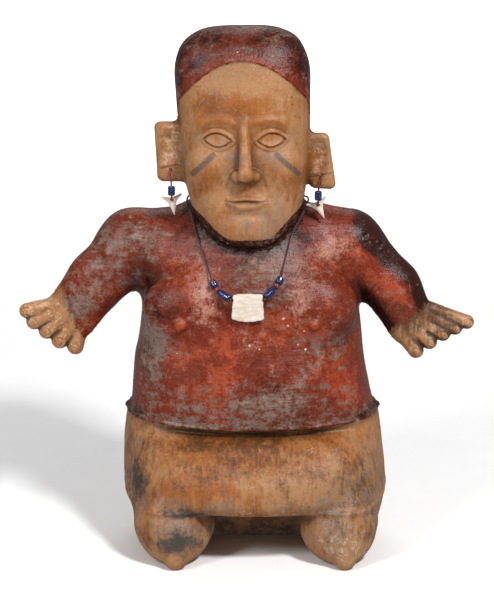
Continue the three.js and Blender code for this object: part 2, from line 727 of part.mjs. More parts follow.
// The plaque lies on the chest, bored from side to side near its upper edge.
const PLAQUE_TOP = { x: -0.4, z: 51.25 }; // the middle of its upper edge, in hundredths
const STRING_BORE = STRING_DIAMETER / 2 + BORE_CLEARANCE;
const plaqueHalfWidth = (drop) => mix(PLAQUE_TOP_WIDTH, PLAQUE_BOTTOM_WIDTH, drop / PLAQUE_HEIGHT) / 2;
function plaquePlace() {
  const [x, z] = [PLAQUE_TOP.x * UNIT, PLAQUE_TOP.z * UNIT];
  const top = onClay([x, -15 * UNIT, z], STAND_OFF);
  const foot = onClay([x, -16 * UNIT, z - PLAQUE_HEIGHT - PLAQUE_SAG], STAND_OFF);
  const tilt = Math.atan2(foot.y - top.y, top.z - foot.z);
  const origin = new THREE.Vector3(x, top.y - PLAQUE_THICKNESS / 2, z);
  const turn = new THREE.Euler(Math.PI / 2 - tilt, 0, 0);
  // The plate comes forward until its whole back is clear of the clay.
  for (let round = 0; round < 6; round += 1) {
    let closest = Infinity;
    for (const across of [-1, -0.5, 0, 0.5, 1]) {
      for (const drop of [0, 0.35, 0.7, 1, 1.12]) {
        const sideways = across * plaqueHalfWidth(drop * PLAQUE_HEIGHT);
        const back = new THREE.Vector3(sideways, -drop * PLAQUE_HEIGHT, -PLAQUE_THICKNESS / 2);
        back.applyEuler(turn).add(origin);
        closest = min(closest, clay(back.x / UNIT, back.y / UNIT, back.z / UNIT) * UNIT);
      }
    }
    origin.y += closest - STAND_OFF;
  }
  return { origin, turn };
}
function makePlaque(place) {
  const outline = new THREE.Shape();
  outline.moveTo(-PLAQUE_TOP_WIDTH / 2, 0);
  outline.quadraticCurveTo(0, 1, PLAQUE_TOP_WIDTH / 2, 0);
  outline.lineTo(PLAQUE_BOTTOM_WIDTH / 2, -PLAQUE_HEIGHT);
  outline.quadraticCurveTo(0, -PLAQUE_HEIGHT - 2 * PLAQUE_SAG, -PLAQUE_BOTTOM_WIDTH / 2, -PLAQUE_HEIGHT);
  const bevel = 0.6;
  const plate = new THREE.ExtrudeGeometry(outline, {
    depth: PLAQUE_THICKNESS - 2 * bevel,
    curveSegments: 6,
    bevelThickness: bevel,
    bevelSize: bevel,
    bevelOffset: -bevel,
    bevelSegments: 1,
  });
  plate.translate(0, 0, bevel - PLAQUE_THICKNESS / 2);
  const drill = new THREE.CylinderGeometry(STRING_BORE, STRING_BORE, 2 * PLAQUE_BOTTOM_WIDTH, 10);
  drill.rotateZ(Math.PI / 2).translate(0, -PLAQUE_BORE_DROP, 0);
  const mesh = piece('shell_plaque', cutFrom(plate, drill), shell);
  mesh.rotation.copy(place.turn);
  mesh.position.copy(place.origin);
  return mesh;
}

// From the plaque outwards each side has a long bead, a spacer and an end bead, at these slopes.
// The steeper the long bead, the further it has to stand off from the plaque's edge.
const CHAINS = {
  left: { side: -1, gap: 2, slopes: [26, 44, 60] },
  right: { side: 1, gap: 2.7, slopes: [43, 42, 60] },
};
const LINKS = [
  { name: 'long_bead', length: LONG_BEAD_LENGTH, diameter: BEAD_DIAMETER, material: blueGlass },
  { name: 'spacer_bead', length: SPACER_LENGTH, diameter: SPACER_DIAMETER, material: redGlass },
  { name: 'end_bead', length: END_BEAD_LENGTH, diameter: BEAD_DIAMETER, material: blueGlass },
];
function makeChain(which, start) {
  const { side, slopes } = CHAINS[which];
  let { gap } = CHAINS[which];
  const beads = [];
  const route = [];
  let at = start.clone();
  LINKS.forEach(({ name, length, diameter, material }, i) => {
    const slope = THREE.MathUtils.degToRad(slopes[i]);
    const along = new THREE.Vector3(side * Math.cos(slope), 0, Math.sin(slope));
    const off = STAND_OFF + diameter / 2;
    const near = at.clone().addScaledVector(along, gap);
    near.y = min(near.y, onClay(near.toArray(), off).y);
    const far = near.clone().addScaledVector(along, length);
    far.y = onClay(far.toArray(), off).y;
    far.sub(near).setLength(length).add(near);
    beads.push(bead(`${which}_${name}`, near, far, diameter, STRING_BORE, material));
    route.push(near, near.clone().lerp(far, 0.5), far);
    at = far;
    gap = BEAD_GAP;
  });
  return { beads, route };
}

// The string climbs from the end beads beside the jaw, and is knotted at the nape.
const NAPE = [0, 10.6, 66.4];
const STRAND = {
  left: [
    [-7.8, -12.6, 55], [-8.9, -10.6, 57.9], [-10, -8.4, 60.9], [-10.7, -5.8, 64.3],
    [-11.5, -3, 65.7], [-10.9, 2.6, 66.2], [-7.4, 7.4, 66.4],
  ],
  right: [
    [6.2, -12.7, 55.4], [6.9, -11.2, 57.9], [7.7, -9.2, 60.8], [9.2, -6.9, 63.8],
    [10.6, -3, 65.9], [10.4, 2.6, 66.2], [7, 7.4, 66.4],
  ],
};
function makeNecklace() {
  const place = plaquePlace();
  const halfWidth = plaqueHalfWidth(PLAQUE_BORE_DROP);
  const boreEnd = (side) =>
    new THREE.Vector3(side * halfWidth, -PLAQUE_BORE_DROP, 0).applyEuler(place.turn).add(place.origin);
  const left = makeChain('left', boreEnd(-1));
  const right = makeChain('right', boreEnd(1));
  const off = STAND_OFF + STRING_DIAMETER / 2;
  const strand = (points) => points.map((p) => onClay(p.map((v) => v * UNIT), off));
  const knotPlace = onClay(NAPE.map((v) => v * UNIT), STAND_OFF + KNOT_RADIUS);
  const end = (side) => knotPlace.clone().add(new THREE.Vector3(side * (KNOT_RADIUS + KNOT_GAP), 0, 0));
  const route = [
    end(-1),
    ...strand(STRAND.left).reverse(),
    ...left.route.reverse(),
    boreEnd(-1),
    boreEnd(-1).lerp(boreEnd(1), 0.5),
    boreEnd(1),
    ...right.route,
    ...strand(STRAND.right),
    end(1),
  ];
  return [
    tube('necklace_string', route, STRING_DIAMETER, 2, darkString),
    knot('necklace_knot', knotPlace, darkString),
    makePlaque(place),
    ...left.beads,
    ...right.beads,
  ];
}

// A flat tooth with two root lobes and one long point, drilled near the top.
function makeTooth(name, centre, turn) {
  const [w, h] = [TOOTH_SPAN / 2, TOOTH_LENGTH];
  const outline = new THREE.Shape();
  outline.moveTo(0, TOOTH_HOLE_DROP * 0.45);
  outline.quadraticCurveTo(w * 0.4, TOOTH_HOLE_DROP * 0.6, w * 0.82, TOOTH_HOLE_DROP * 1.25);
  outline.quadraticCurveTo(w * 1.08, TOOTH_HOLE_DROP * 1.2, w, TOOTH_HOLE_DROP * 0.75);
  outline.quadraticCurveTo(w * 0.45, -h * 0.1, w * 0.26, -h * 0.36);
  outline.quadraticCurveTo(w * 0.14, -h * 0.6, w * 0.03, -h + TOOTH_HOLE_DROP);
  outline.lineTo(-w * 0.03, -h + TOOTH_HOLE_DROP);
  outline.quadraticCurveTo(-w * 0.2, -h * 0.55, -w * 0.34, -h * 0.34);
  outline.quadraticCurveTo(-w * 0.5, -h * 0.08, -w, TOOTH_HOLE_DROP * 0.75);
  outline.quadraticCurveTo(-w * 1.08, TOOTH_HOLE_DROP * 1.2, -w * 0.82, TOOTH_HOLE_DROP * 1.25);
  outline.quadraticCurveTo(-w * 0.4, TOOTH_HOLE_DROP * 0.6, 0, TOOTH_HOLE_DROP * 0.45);
  const plate = new THREE.ExtrudeGeometry(outline, {
    depth: TOOTH_THICKNESS,
    curveSegments: 3,
    bevelEnabled: false,
  });
  plate.translate(0, 0, -TOOTH_THICKNESS / 2);
  const drill = new THREE.CylinderGeometry(THREAD_BORE, THREAD_BORE, 4 * TOOTH_THICKNESS, 8);
  drill.rotateX(Math.PI / 2);
  const mesh = piece(name, cutFrom(plate, drill), shell);
  mesh.position.copy(centre);
  mesh.rotation.set(Math.PI / 2, turn, 0, 'ZYX');
  return mesh;
}

// The thread is knotted behind the lobe, comes forward through it, hangs down through the bead,
// and turns back through the tooth to its other knot.
// The stiff threads don't hang quite true: how far each sways aside, and how its tooth is turned.
const HANG = {
  left: { sway: 0.7, turn: -0.14 },
  right: { sway: -2.2, turn: -0.42 },
};
function makeEarPendant(which, { sway, turn }) {
  const [x, z] = EARS[which].hole.map((v) => v * UNIT);
  const thick = EARS[which].half[1] * UNIT;
  const back = EAR_Y * UNIT + thick;
  const front = EAR_Y * UNIT - thick;
  const hang = front - THREAD_BEND - 0.4;
  const arc = (cx, cy, cz, from, to) => [0, 0.25, 0.5, 0.75, 1].map((t) => {
    const angle = THREE.MathUtils.degToRad(mix(from, to, t));
    return new THREE.Vector3(cx, cy + THREAD_BEND * Math.cos(angle), cz + THREAD_BEND * Math.sin(angle));
  });
  const beadTop = new THREE.Vector3(x + sway, hang, z - THREAD_DROP);
  const beadFoot = beadTop.clone().setZ(beadTop.z - EAR_BEAD_LENGTH);
  const turnZ = beadFoot.z - 0.6;
  const toothY = hang + THREAD_BEND + 0.4 + TOOTH_THICKNESS / 2;
  const toothCentre = new THREE.Vector3(x + sway, toothY, turnZ - THREAD_BEND);
  const lobeKnot = new THREE.Vector3(x, back + STAND_OFF + KNOT_RADIUS, z);
  const toothKnot = toothCentre.clone().setY(toothY + TOOTH_THICKNESS / 2 + KNOT_GAP + KNOT_RADIUS);
  const route = [
    lobeKnot.clone().setY(lobeKnot.y - KNOT_RADIUS - KNOT_GAP),
    ...arc(x, front - 0.4, z - THREAD_BEND, 90, 180),
    beadTop,
    beadTop.clone().lerp(beadFoot, 0.5),
    beadFoot,
    ...arc(x + sway, hang + THREAD_BEND, turnZ, 180, 270),
    toothKnot.clone().setY(toothKnot.y - KNOT_RADIUS - KNOT_GAP),
  ];
  return [
    tube(`${which}_ear_thread`, route, THREAD_DIAMETER, 1, redThread),
    knot(`${which}_lobe_knot`, lobeKnot, redThread),
    bead(`${which}_ear_bead`, beadTop, beadFoot, EAR_BEAD_DIAMETER, THREAD_BORE, blueGlass),
    makeTooth(`${which}_ear_tooth`, toothCentre, turn),
    knot(`${which}_tooth_knot`, toothKnot, redThread),
  ];
}

const group = new THREE.Group();
group.name = 'seated_figure';
group.add(makeFigure());
group.add(...makeNecklace());
group.add(...makeEarPendant('left', HANG.left));
group.add(...makeEarPendant('right', HANG.right));

export default group;
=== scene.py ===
"""Looks of the seated earthenware figure: its clay, slip paint and ornaments, and the studio.

The clay is one signed-distance function in hundredths of the figure's height, the same forms as
the part's solid with finer carving, followed here on a closer grid. Blender's units are metres.
"""

import math

import bpy
import numpy as np
from mathutils import Matrix, Vector


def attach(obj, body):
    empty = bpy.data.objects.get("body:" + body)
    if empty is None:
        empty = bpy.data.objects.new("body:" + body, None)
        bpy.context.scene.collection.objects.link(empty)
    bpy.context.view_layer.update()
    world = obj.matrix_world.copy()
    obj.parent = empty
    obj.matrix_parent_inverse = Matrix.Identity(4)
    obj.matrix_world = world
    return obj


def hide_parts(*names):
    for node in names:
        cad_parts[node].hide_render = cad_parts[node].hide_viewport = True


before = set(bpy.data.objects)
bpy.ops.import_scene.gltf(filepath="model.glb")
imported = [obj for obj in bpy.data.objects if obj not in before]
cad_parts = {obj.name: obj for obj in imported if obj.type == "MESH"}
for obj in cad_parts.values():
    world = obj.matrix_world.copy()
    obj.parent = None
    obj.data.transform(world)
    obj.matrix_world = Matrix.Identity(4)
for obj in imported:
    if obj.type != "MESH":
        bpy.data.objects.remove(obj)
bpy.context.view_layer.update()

FIGURE_HEIGHT = 400  # millimetres
UNIT = FIGURE_HEIGHT / 100
MM = 0.001
FAR = 1000.0  # a distance from the clay that never counts
RANDOM = np.random.default_rng(7)

# The grid that follows the clay, in hundredths of the height. The fine pitch parts the fingers.
PITCH = 0.82
FINE_PITCH = 0.4


def clamp(v, low, high):
    return np.minimum(np.maximum(v, low), high)


def mix(a, b, t):
    return a + (b - a) * t


def ease(low, high, v):
    t = clamp((v - low) / (high - low), 0, 1)
    return t * t * (3 - 2 * t)


def bell(distance, width):
    return np.exp(-((distance / width) ** 2))


def join(a, b, k):
    """Soft union of two distances, rounded over about k."""
    h = np.maximum(k - np.abs(a - b), 0) / k
    return np.minimum(a, b) - h * h * k / 4


def cut(a, b, k):
    return -join(-a, b, k)


def length(*parts):
    return np.sqrt(sum(p * p for p in parts))


def hermite(a, leave, b, enter, t):
    """A cubic from a to b, with the slopes at which it leaves and enters."""
    start = (2 * t**3 - 3 * t**2 + 1) * a + (t**3 - 2 * t**2 + t) * leave
    return start + ((3 * t**2 - 2 * t**3) * b + (t**3 - t**2) * enter)


def through(rows):
    """A smooth curve through rows of (z, value, value, ...), held at its ends."""
    table = np.array(rows, float)
    heights, values = table[:, 0], table[:, 1:]
    last = len(heights) - 1
    after = np.minimum(np.arange(last + 1) + 1, last)
    before = np.maximum(np.arange(last + 1) - 1, 0)
    slopes = (values[after] - values[before]) / (heights[after] - heights[before])[:, None]

    def at(z):
        z = clamp(z, heights[0], heights[-1])
        i = clamp(np.searchsorted(heights, z) - 1, 0, last - 1)
        span = (heights[i + 1] - heights[i])[..., None]
        t = (z - heights[i])[..., None] / span
        curve = hermite(values[i], span * slopes[i], values[i + 1], span * slopes[i + 1], t)
        return np.moveaxis(curve, -1, 0)

    return at


def column(rows, n, low, high, low_round, high_round):
    """A column of rounded rectangles. Rows are (z, half width, reach to the front, to the back)."""
    section = through(rows)

    def form(x, y, z):
        half, front, back = section(z)
        depth = np.where(y < 0, front, back)
        u, v = np.abs(x) / half, np.abs(y) / depth
        r = (u**n + v**n) ** (1 / n)
        steep = length(u ** (n - 1) / half, v ** (n - 1) / depth) * np.maximum(r, 1e-6) ** (1 - n)
        inside = -np.minimum(half, depth)
        side = np.where(r < 0.05, inside, (r - 1) / np.maximum(steep, 1e-9))
        return cut(cut(side, z - low, low_round), high - z, high_round)

    return form


def ellipsoid(centre, radii):
    (cx, cy, cz), (rx, ry, rz) = centre, radii

    def form(x, y, z):
        dx, dy, dz = x - cx, y - cy, z - cz
        k0 = length(dx / rx, dy / ry, dz / rz)
        k1 = np.maximum(length(dx / rx**2, dy / ry**2, dz / rz**2), 1e-6)
        return k0 * (k0 - 1) / k1

    return form


def limb(start, end, across, deep=None):
    """A limb that tapers between two points, with its reach across and in depth at each."""
    (ax, ay, az), (bx, by, bz) = start, end
    ex, ey, ez = bx - ax, by - ay, bz - az
    square = ex * ex + ey * ey + ez * ez
    deep = deep or across

    def form(x, y, z):
        t = clamp(((x - ax) * ex + (y - ay) * ey + (z - az) * ez) / square, 0, 1)
        flat = length(x - ax - t * ex, z - az - t * ez)
        thick = y - ay - t * ey
        r, q = mix(across[0], across[1], t), mix(deep[0], deep[1], t)
        k0 = length(flat / r, thick / q)
        k1 = np.maximum(length(flat / r**2, thick / q**2), 1e-6)
        return k0 * (k0 - 1) / k1

    return form


def rounded_box(centre, half, r, lean):
    (cx, cy, cz), (hx, hy, hz) = centre, half

    def form(x, y, z):
        u = np.abs(x - cx - lean * (z - cz)) - hx + r
        v = np.abs(y - cy) - hy + r
        w = np.abs(z - cz) - hz + r
        outside = length(np.maximum(u, 0), np.maximum(v, 0), np.maximum(w, 0))
        return outside + np.minimum(np.maximum(np.maximum(u, v), w), 0) - r

    return form


# Trunk, seat, skirt and the two stumps of the folded legs.
trunk = column(
    [
        (21.5, 22.2, 15.6, 13.4),
        (25.4, 23.8, 18.2, 14.2),
        (29, 23.4, 18.7, 14.1),
        (33, 22.8, 18.4, 13.7),
        (38, 22.1, 17.6, 13.2),
        (44, 21.3, 16.3, 12.6),
        (50, 20.3, 15, 12),
        (55, 18.4, 13.2, 11.2),
        (59, 15.6, 11.2, 10),
        (62.5, 12.4, 9.4, 8.9),
        (66, 10.6, 8.2, 8.3),
        (71, 10.2, 8, 8.2),
    ],
    2.45, 24.3, 71, 1.6, 1,
)
seat = column(
    [
        (-3, 13, 3, 9),
        (0, 18.6, 5.5, 13.6),
        (2.5, 21.4, 7.5, 16.6),
        (6, 23.2, 9.5, 18.4),
        (10, 24.2, 11.5, 18.8),
        (15, 24.6, 14, 18),
        (20, 24.5, 16, 16.2),
        (26, 23.9, 16.6, 14.4),
    ],
    2.5, -3, 25.2, 1, 1.6,
)
skirt = column(
    [
        (8, 23.4, 24.2, 9),
        (10.4, 24.3, 25.2, 9),
        (13, 24.7, 25.8, 9),
        (16, 24.8, 25.3, 9),
        (19, 24.6, 23.6, 9),
        (21.5, 24.3, 21, 9),
        (24, 24, 17.8, 9),
        (26, 23.7, 16.2, 9),
    ],
    2.9, 10.2, 25.2, 2.2, 1.6,
)


def swing(z):
    """Below the chest the body swings a little to the right."""
    return 0.6 * ease(38, 22, z)


def leg(x, toe_x, wide):
    thigh = limb((x, -1.5, 9.6), (x, -18.3, 6.3), (8.2 * wide, 6.5 * wide))
    toe = limb((x, -18.3, 6.3), (toe_x, -24.4, 1.9), (6 * wide, 2.1))
    return lambda px, py, pz: join(thigh(px, py, pz), toe(px, py, pz), 2.4)


left_leg = leg(-15, -14.6, 1.1)
right_leg = leg(16.4, 17.2, 1.1)

FINGER_RADIUS = 1.2
TIP_RADIUS = 1.48
FINGER_DEPTH = 1.35
FINGER_ROOT = 1.6
NAIL_RADIUS = 0.72
NAIL_GROOVE = 0.15
HAND_Y = -2.4
# Each finger is (base x, base z, tip x, tip z).
LEFT_FINGERS = [
    (-38.5, 46, -43.6, 45),
    (-37.4, 44.8, -42.2, 42.8),
    (-36.2, 43.3, -39.7, 40.9),
    (-34.8, 41.7, -37.2, 38.9),
    (-33.1, 40.7, -34.1, 37.7),
]
RIGHT_FINGERS = [
    (36.6, 44.9, 42.4, 42.7),
    (35, 44.1, 40.1, 41.5),
    (33.5, 42.7, 37.8, 40.3),
    (31.7, 41.1, 35.2, 38.7),
    (30.2, 39.5, 32.5, 36.9),
]


def pointing(bx, bz, tx, tz):
    """The direction from a finger's base to its tip, seen from the front."""
    away = math.hypot(tx - bx, tz - bz)
    return (tx - bx) / away, (tz - bz) / away


def arm(root, shoulder, forearm, wrist, fingers):
    """Each joint is (centre, reach across, reach in depth)."""
    joints = [root, shoulder, forearm, wrist]
    forms = []
    for soft, (a, ra, qa), (b, rb, qb) in zip((3, 2, 2), joints, joints[1:]):
        forms.append((limb(a, b, (ra, rb), (qa, qb)), soft))
    nails = []
    for bx, bz, tx, tz in fingers:
        ux, uz = pointing(bx, bz, tx, tz)
        tx -= (TIP_RADIUS - FINGER_RADIUS) * ux
        tz -= (TIP_RADIUS - FINGER_RADIUS) * uz
        base = (bx - FINGER_ROOT * ux, HAND_Y + 0.1, bz - FINGER_ROOT * uz)
        deep = (FINGER_DEPTH * 1.25, FINGER_DEPTH)
        finger = limb(base, (tx, HAND_Y - 1, tz), (FINGER_RADIUS, TIP_RADIUS), deep)
        forms.append((finger, 0.55))
        nails.append((tx + 0.2 * ux, tz + 0.2 * uz, ux, uz))
    hollows = []
    for (bx, bz, tx, tz), (cx, cz, *_) in zip(fingers, fingers[1:]):
        mx, mz = (bx + cx) / 2, (bz + cz) / 2
        ux, uz = pointing(bx, bz, tx, tz)
        outer = (mx + 1.7 * ux, HAND_Y - 2.3, mz + 1.7 * uz)
        inner = (mx - 1.9 * ux, HAND_Y - 2.4, mz - 1.9 * uz)
        hollows.append(limb(outer, inner, (0.62, 0.2)))

    def form(x, y, z):
        d = np.full(x.shape, FAR)
        for shape, soft in forms:
            d = join(d, shape(x, y, z), soft)
        for hollow in hollows:
            d = cut(d, hollow(x, y, z), 0.35)
        ahead = y < HAND_Y - 1.2
        fx, fz = x[ahead], z[ahead]
        for cx, cz, ux, uz in nails:
            along = (fx - cx) * ux + (fz - cz) * uz
            across = (fz - cz) * ux - (fx - cx) * uz
            rim = bell(length(0.85 * along, across) - NAIL_RADIUS, 0.16)
            d[ahead] += NAIL_GROOVE * rim * ease(0.9, 0.3, along)
        return d

    return form


left_arm = arm(
    ((-13.5, 0.6, 57.2), 8, 7.8),
    ((-22.7, 0, 57.7), 6.6, 6.4),
    ((-29.6, -1.6, 50.7), 5.5, 4.6),
    ((-34.4, HAND_Y, 44.5), 5.3, 2),
    LEFT_FINGERS,
)
right_arm = arm(
    ((13.5, 0.6, 57.4), 8.1, 7.8),
    ((19, 0, 57.3), 6.7, 6.4),
    ((27.6, -1.6, 49.4), 5.15, 4.4),
    ((31.4, HAND_Y, 42.8), 4.9, 2),
    RIGHT_FINGERS,
)

# The head, its cap of hair, and a calm, plain face.
HEAD_Y = -4
CAP_STEP = 0.3
HEAD_TOP = 100 - CAP_STEP
skull = column(
    [
        (57.4, 3, 7, 4),
        (60, 6.7, 9.4, 7),
        (62.8, 9, 10.1, 9),
        (66, 10.5, 10.3, 10.3),
        (70, 11.4, 10.1, 11),
        (75, 12, 9.8, 11.4),
        (81, 12.2, 9.4, 11.7),
        (88, 12.4, 8.9, 11.8),
        (94, 12.6, 8.5, 11.6),
        (101, 12.6, 8.2, 11.2),
    ],
    2.65, 58.2, HEAD_TOP, 3, 9.8,
)


def head_x(z):
    return -0.4 - 0.032 * (z - 61)


def cap_edge(x, y):
    arch = 94 - 7.4 * (x / 12) ** 2
    return mix(arch, 66.5, ease(-8.5, 0.5, y))


EYE_X = 5
EYE_Z = 79.4
EYE_HALF = 2.5
EYE_OPEN = 1.2
SOCKET_Z = 79.6
LID_FOLD_RISE = 2.3
BROW_Z = 83.2
MOUTH_Z = 68.1
MOUTH_HALF = 4
LIP_GROOVE_Z = 70.6
CHIN_FOLD_Z = 65.6
NOSE = [
    (limb((0, -12.9, 82.6), (0, -15.9, 73.6), (0.8, 1.25), (1, 1.5)), 1.4),
    (ellipsoid((0, -16.1, 73.4), (1.3, 1.2, 1.15)), 0.8),
    (ellipsoid((-1.6, -14.6, 73), (1.15, 1.35, 1.05)), 0.8),
    (ellipsoid((1.6, -14.6, 73), (1.15, 1.35, 1.05)), 0.8),
]
NOSTRILS = [ellipsoid((side * 1.15, -15.4, 71.9), (0.5, 0.7, 0.5)) for side in (-1, 1)]
FLESH = [
    (ellipsoid((-6.8, -10.6, 75.2), (3.6, 3.1, 3.6)), 3),
    (ellipsoid((6.8, -10.6, 75.2), (3.6, 3.1, 3.6)), 3),
    (ellipsoid((0, -11.8, 63.2), (4, 2.6, 2.6)), 3),
]


def almond(x, z, half, open_by):
    """About the distance outside an almond round the eye, and the distance from its middle."""
    side = np.abs(x) - EYE_X
    edge = open_by * (1 - (side / half) ** 2)
    steep = length(1, 2 * open_by * side / half**2)
    return (np.abs(z - EYE_Z - 0.06 * side) - edge) / steep, side


def relief(x, z):
    """How far brows, eyes and lips stand out from the face."""
    lens, side = almond(x, z, EYE_HALF, EYE_OPEN)
    out = np.abs(x)
    brow = BROW_Z - 0.08 * (side + 0.4) ** 2
    h = 0.42 * bell(z - brow, 0.85) * ease(0.6, 2.4, out) * ease(9.4, 7.4, out)
    h -= 0.8 * bell(side, 3.7) * bell(z - SOCKET_Z, 2.4)
    h += 0.34 * ease(0.05, -0.3, lens)
    h -= 0.2 * bell(lens - 0.06, 0.15) * ease(3.3, 2.7, np.abs(side))
    h += 0.26 * bell(lens - 0.42, 0.26) * ease(3.6, 2.8, np.abs(side))
    lid_fold = z - EYE_Z - LID_FOLD_RISE + 0.15 * side**2
    h -= 0.16 * bell(lid_fold, 0.26) * ease(3.4, 2.4, np.abs(side))
    full = np.maximum(1 - (x / MOUTH_HALF) ** 2, 0)
    h += 0.66 * full**0.6 * bell(z - MOUTH_Z - 0.66 * full, 0.62)
    h += 0.74 * full**0.6 * bell(z - MOUTH_Z + 0.85 * full, 0.74)
    h -= 0.6 * full**0.5 * bell(z - MOUTH_Z - 0.05 - 0.08 * np.cos(1.5 * x), 0.2)
    h -= 0.22 * bell(x, 0.5) * bell(z - LIP_GROOVE_Z, 0.9)
    beside_mouth = bell(out - 3.1 - 0.35 * (72.2 - z), 0.5)
    h -= 0.2 * beside_mouth * ease(67.4, 69, z) * ease(73, 71.5, z)
    return h - 0.3 * bell(x, 2.6) * bell(z - CHIN_FOLD_Z, 0.7)


def head(px, y, z):
    x = px - head_x(z)
    d = skull(x, y - HEAD_Y, z) - CAP_STEP * ease(-0.25, 0.25, z - cap_edge(x, y))
    front = y < -7
    fx, fy, fz, fd = x[front], y[front], z[front], d[front]
    for form, soft in FLESH:
        fd = join(fd, form(fx, fy, fz), soft)
    fd = fd - relief(fx, fz) * ease(-8, -11, fy)
    for form, soft in NOSE:
        fd = join(fd, form(fx, fy, fz), soft)
    for form in NOSTRILS:
        fd = cut(fd, form(fx, fy, fz), 0.3)
    d[front] = fd
    return d


# The ears are flat flaps facing forward, hollowed a little, with a hole through each lobe.
EAR_Y = -5.4
EARS = {
    "left": {
        "side": -1,
        "x": -15.1,
        "z": 76.4,
        "half": (2.75, 1.2, 5.65),
        "lean": -0.05,
        "hole": (-15.04, 73),
    },
    "right": {
        "side": 1,
        "x": 13.1,
        "z": 74.7,
        "half": (2.5, 1.2, 5.35),
        "lean": -0.13,
        "hole": (13.47, 72.06),
    },
}
LOBE_BORE = 0.35


def ear(side, x, z, half, lean, hole):
    flap = rounded_box((x, EAR_Y, z), half, 1.15, lean)
    hollow = ellipsoid((x + side * 0.2 + lean * 1.2, EAR_Y - half[1] - 0.75, z + 1), (1.75, 1.7, 3.3))
    fold = limb((x - 1.6, EAR_Y - 1.3, z - 3.2), (x + 2.4, EAR_Y - 1.3, z - 2.4), (0.3, 0.3))

    def form(px, py, pz):
        d = cut(flap(px, py, pz), hollow(px, py, pz), 0.8)
        d = cut(d, fold(px, py, pz), 0.4)
        return cut(d, length(px - hole[0], pz - hole[1]) - LOBE_BORE, 0.15)

    return form


left_ear = ear(**EARS["left"])
right_ear = ear(**EARS["right"])

breasts = [ellipsoid((side * 12.2, -10.4, 47.2), (8, 5.7, 6.9)) for side in (-1, 1)]
nipples = [ellipsoid((x, -15.9, 45), (1.1, 0.9, 1.1)) for x in (-13, 12.1)]
LEFT_PELLETS = [(-22.6, 60.2), (-27.6, 56.8)]
RIGHT_SCARS = [(22, 60.2), (24.9, 58.2)]
nubs = [ellipsoid((x, -1, 25.8), (0.85, 0.9, 0.7)) for x in (-24.2, 24.2)]


def near(d, mask, form, soft, x, y, z):
    """Joins a form to the distances d at the points where the mask is true."""
    d[mask] = join(d[mask], form(x[mask], y[mask], z[mask]), soft)


LATTICE_SIZE = 32
LATTICE = RANDOM.uniform(-1, 1, (LATTICE_SIZE,) * 3)


def ripple(x, y, z):
    """Smooth noise from -1 to 1, about one swell to each unit."""
    total = np.zeros(x.shape)
    low = [np.floor(v).astype(int) for v in (x, y, z)]
    share = [v - i for v, i in zip((x, y, z), low)]
    share = [t * t * (3 - 2 * t) for t in share]
    for corner in np.ndindex(2, 2, 2):
        weight = np.ones(x.shape)
        for bit, t in zip(corner, share):
            weight = weight * (t if bit else 1 - t)
        at = tuple((i + bit) % LATTICE_SIZE for i, bit in zip(low, corner))
        total += weight * LATTICE[at]
    return total


def cloud(x, y, z, size, octaves=3):
    """Noise of that size with ever finer noise upon it."""
    total = np.zeros(x.shape)
    for k in range(octaves):
        scale = 2**k / size
        total += ripple(x * scale + 7.3 * k, y * scale + 3.1 * k, z * scale + 5.7 * k) / 2**k
    return total


def unevenness(x, y, z):
    """The slow swell of a surface built up and scraped by hand."""
    return 0.2 * ripple(x / 8, y / 8, z / 7) + 0.07 * ripple(x / 3.1, y / 3.1 + 5, z / 2.6)


WAIST_Z = 25.1
HEM_Z = 10.6


def waist_line(x):
    """The height of the ridge round the waist, which rises a little to the sides."""
    return WAIST_Z + 0.7 * ease(0, 24, np.abs(x))


def lower_body(x, y, z):
    """Seat, skirt and folded legs, with the hem across them."""
    lower = join(seat(x, y, z), skirt(x, y, z), mix(0.6, 3, ease(8, 19, z)))
    outer = mix(1.5, 5, ease(14, 22, np.abs(x)))
    lower = join(lower, join(left_leg(x, y, z), right_leg(x, y, z), 1), outer)
    return lower - 0.25 * bell(z - HEM_Z, 0.5) * ease(6, -4, y)


def upper_body(x, y, z):
    """Trunk, breasts and arms, with the pellets and scars on the shoulders."""
    upper = trunk(x - swing(z), y, z)
    front = y < 0
    for breast in breasts:
        near(upper, front, breast, 3, x, y, z)
    for nipple in nipples:
        near(upper, front, nipple, 0.6, x, y, z)
    near(upper, (z > 30) & (x < 0), left_arm, 5, x, y, z)
    near(upper, (z > 30) & (x >= 0), right_arm, 2.6, x, y, z)
    band = front & (z > 54) & (z < 63)
    for cx, cz in LEFT_PELLETS:
        upper[band] -= 0.42 * bell(length(x[band] - cx, z[band] - cz), 0.85)
    for cx, cz in RIGHT_SCARS:
        dx, dz = x[band] - cx, z[band] - cz
        upper[band] -= 0.3 * bell(length(dx, dz) - 0.75, 0.32) * ease(-0.7, 0.2, dx + 0.4 * dz)
    return upper


def lap_folds(x, y, z):
    """How far the lap is pressed in below the waist, less the swell beside it."""
    fall = z + 1.1 - 0.5 * ease(0, 24, np.abs(x))
    ahead = ease(-4, -12, y)
    depth = 1.25 * bell(fall - 24.7, 0.85) * ease(22, 13, np.abs(x)) * ahead
    depth += 0.7 * bell(x - 1, 8) * bell(z - 20.5, 3.2) * ahead
    return depth - 0.35 * bell(np.abs(x) - 12.5, 6) * bell(z - 21, 2.4) * ahead


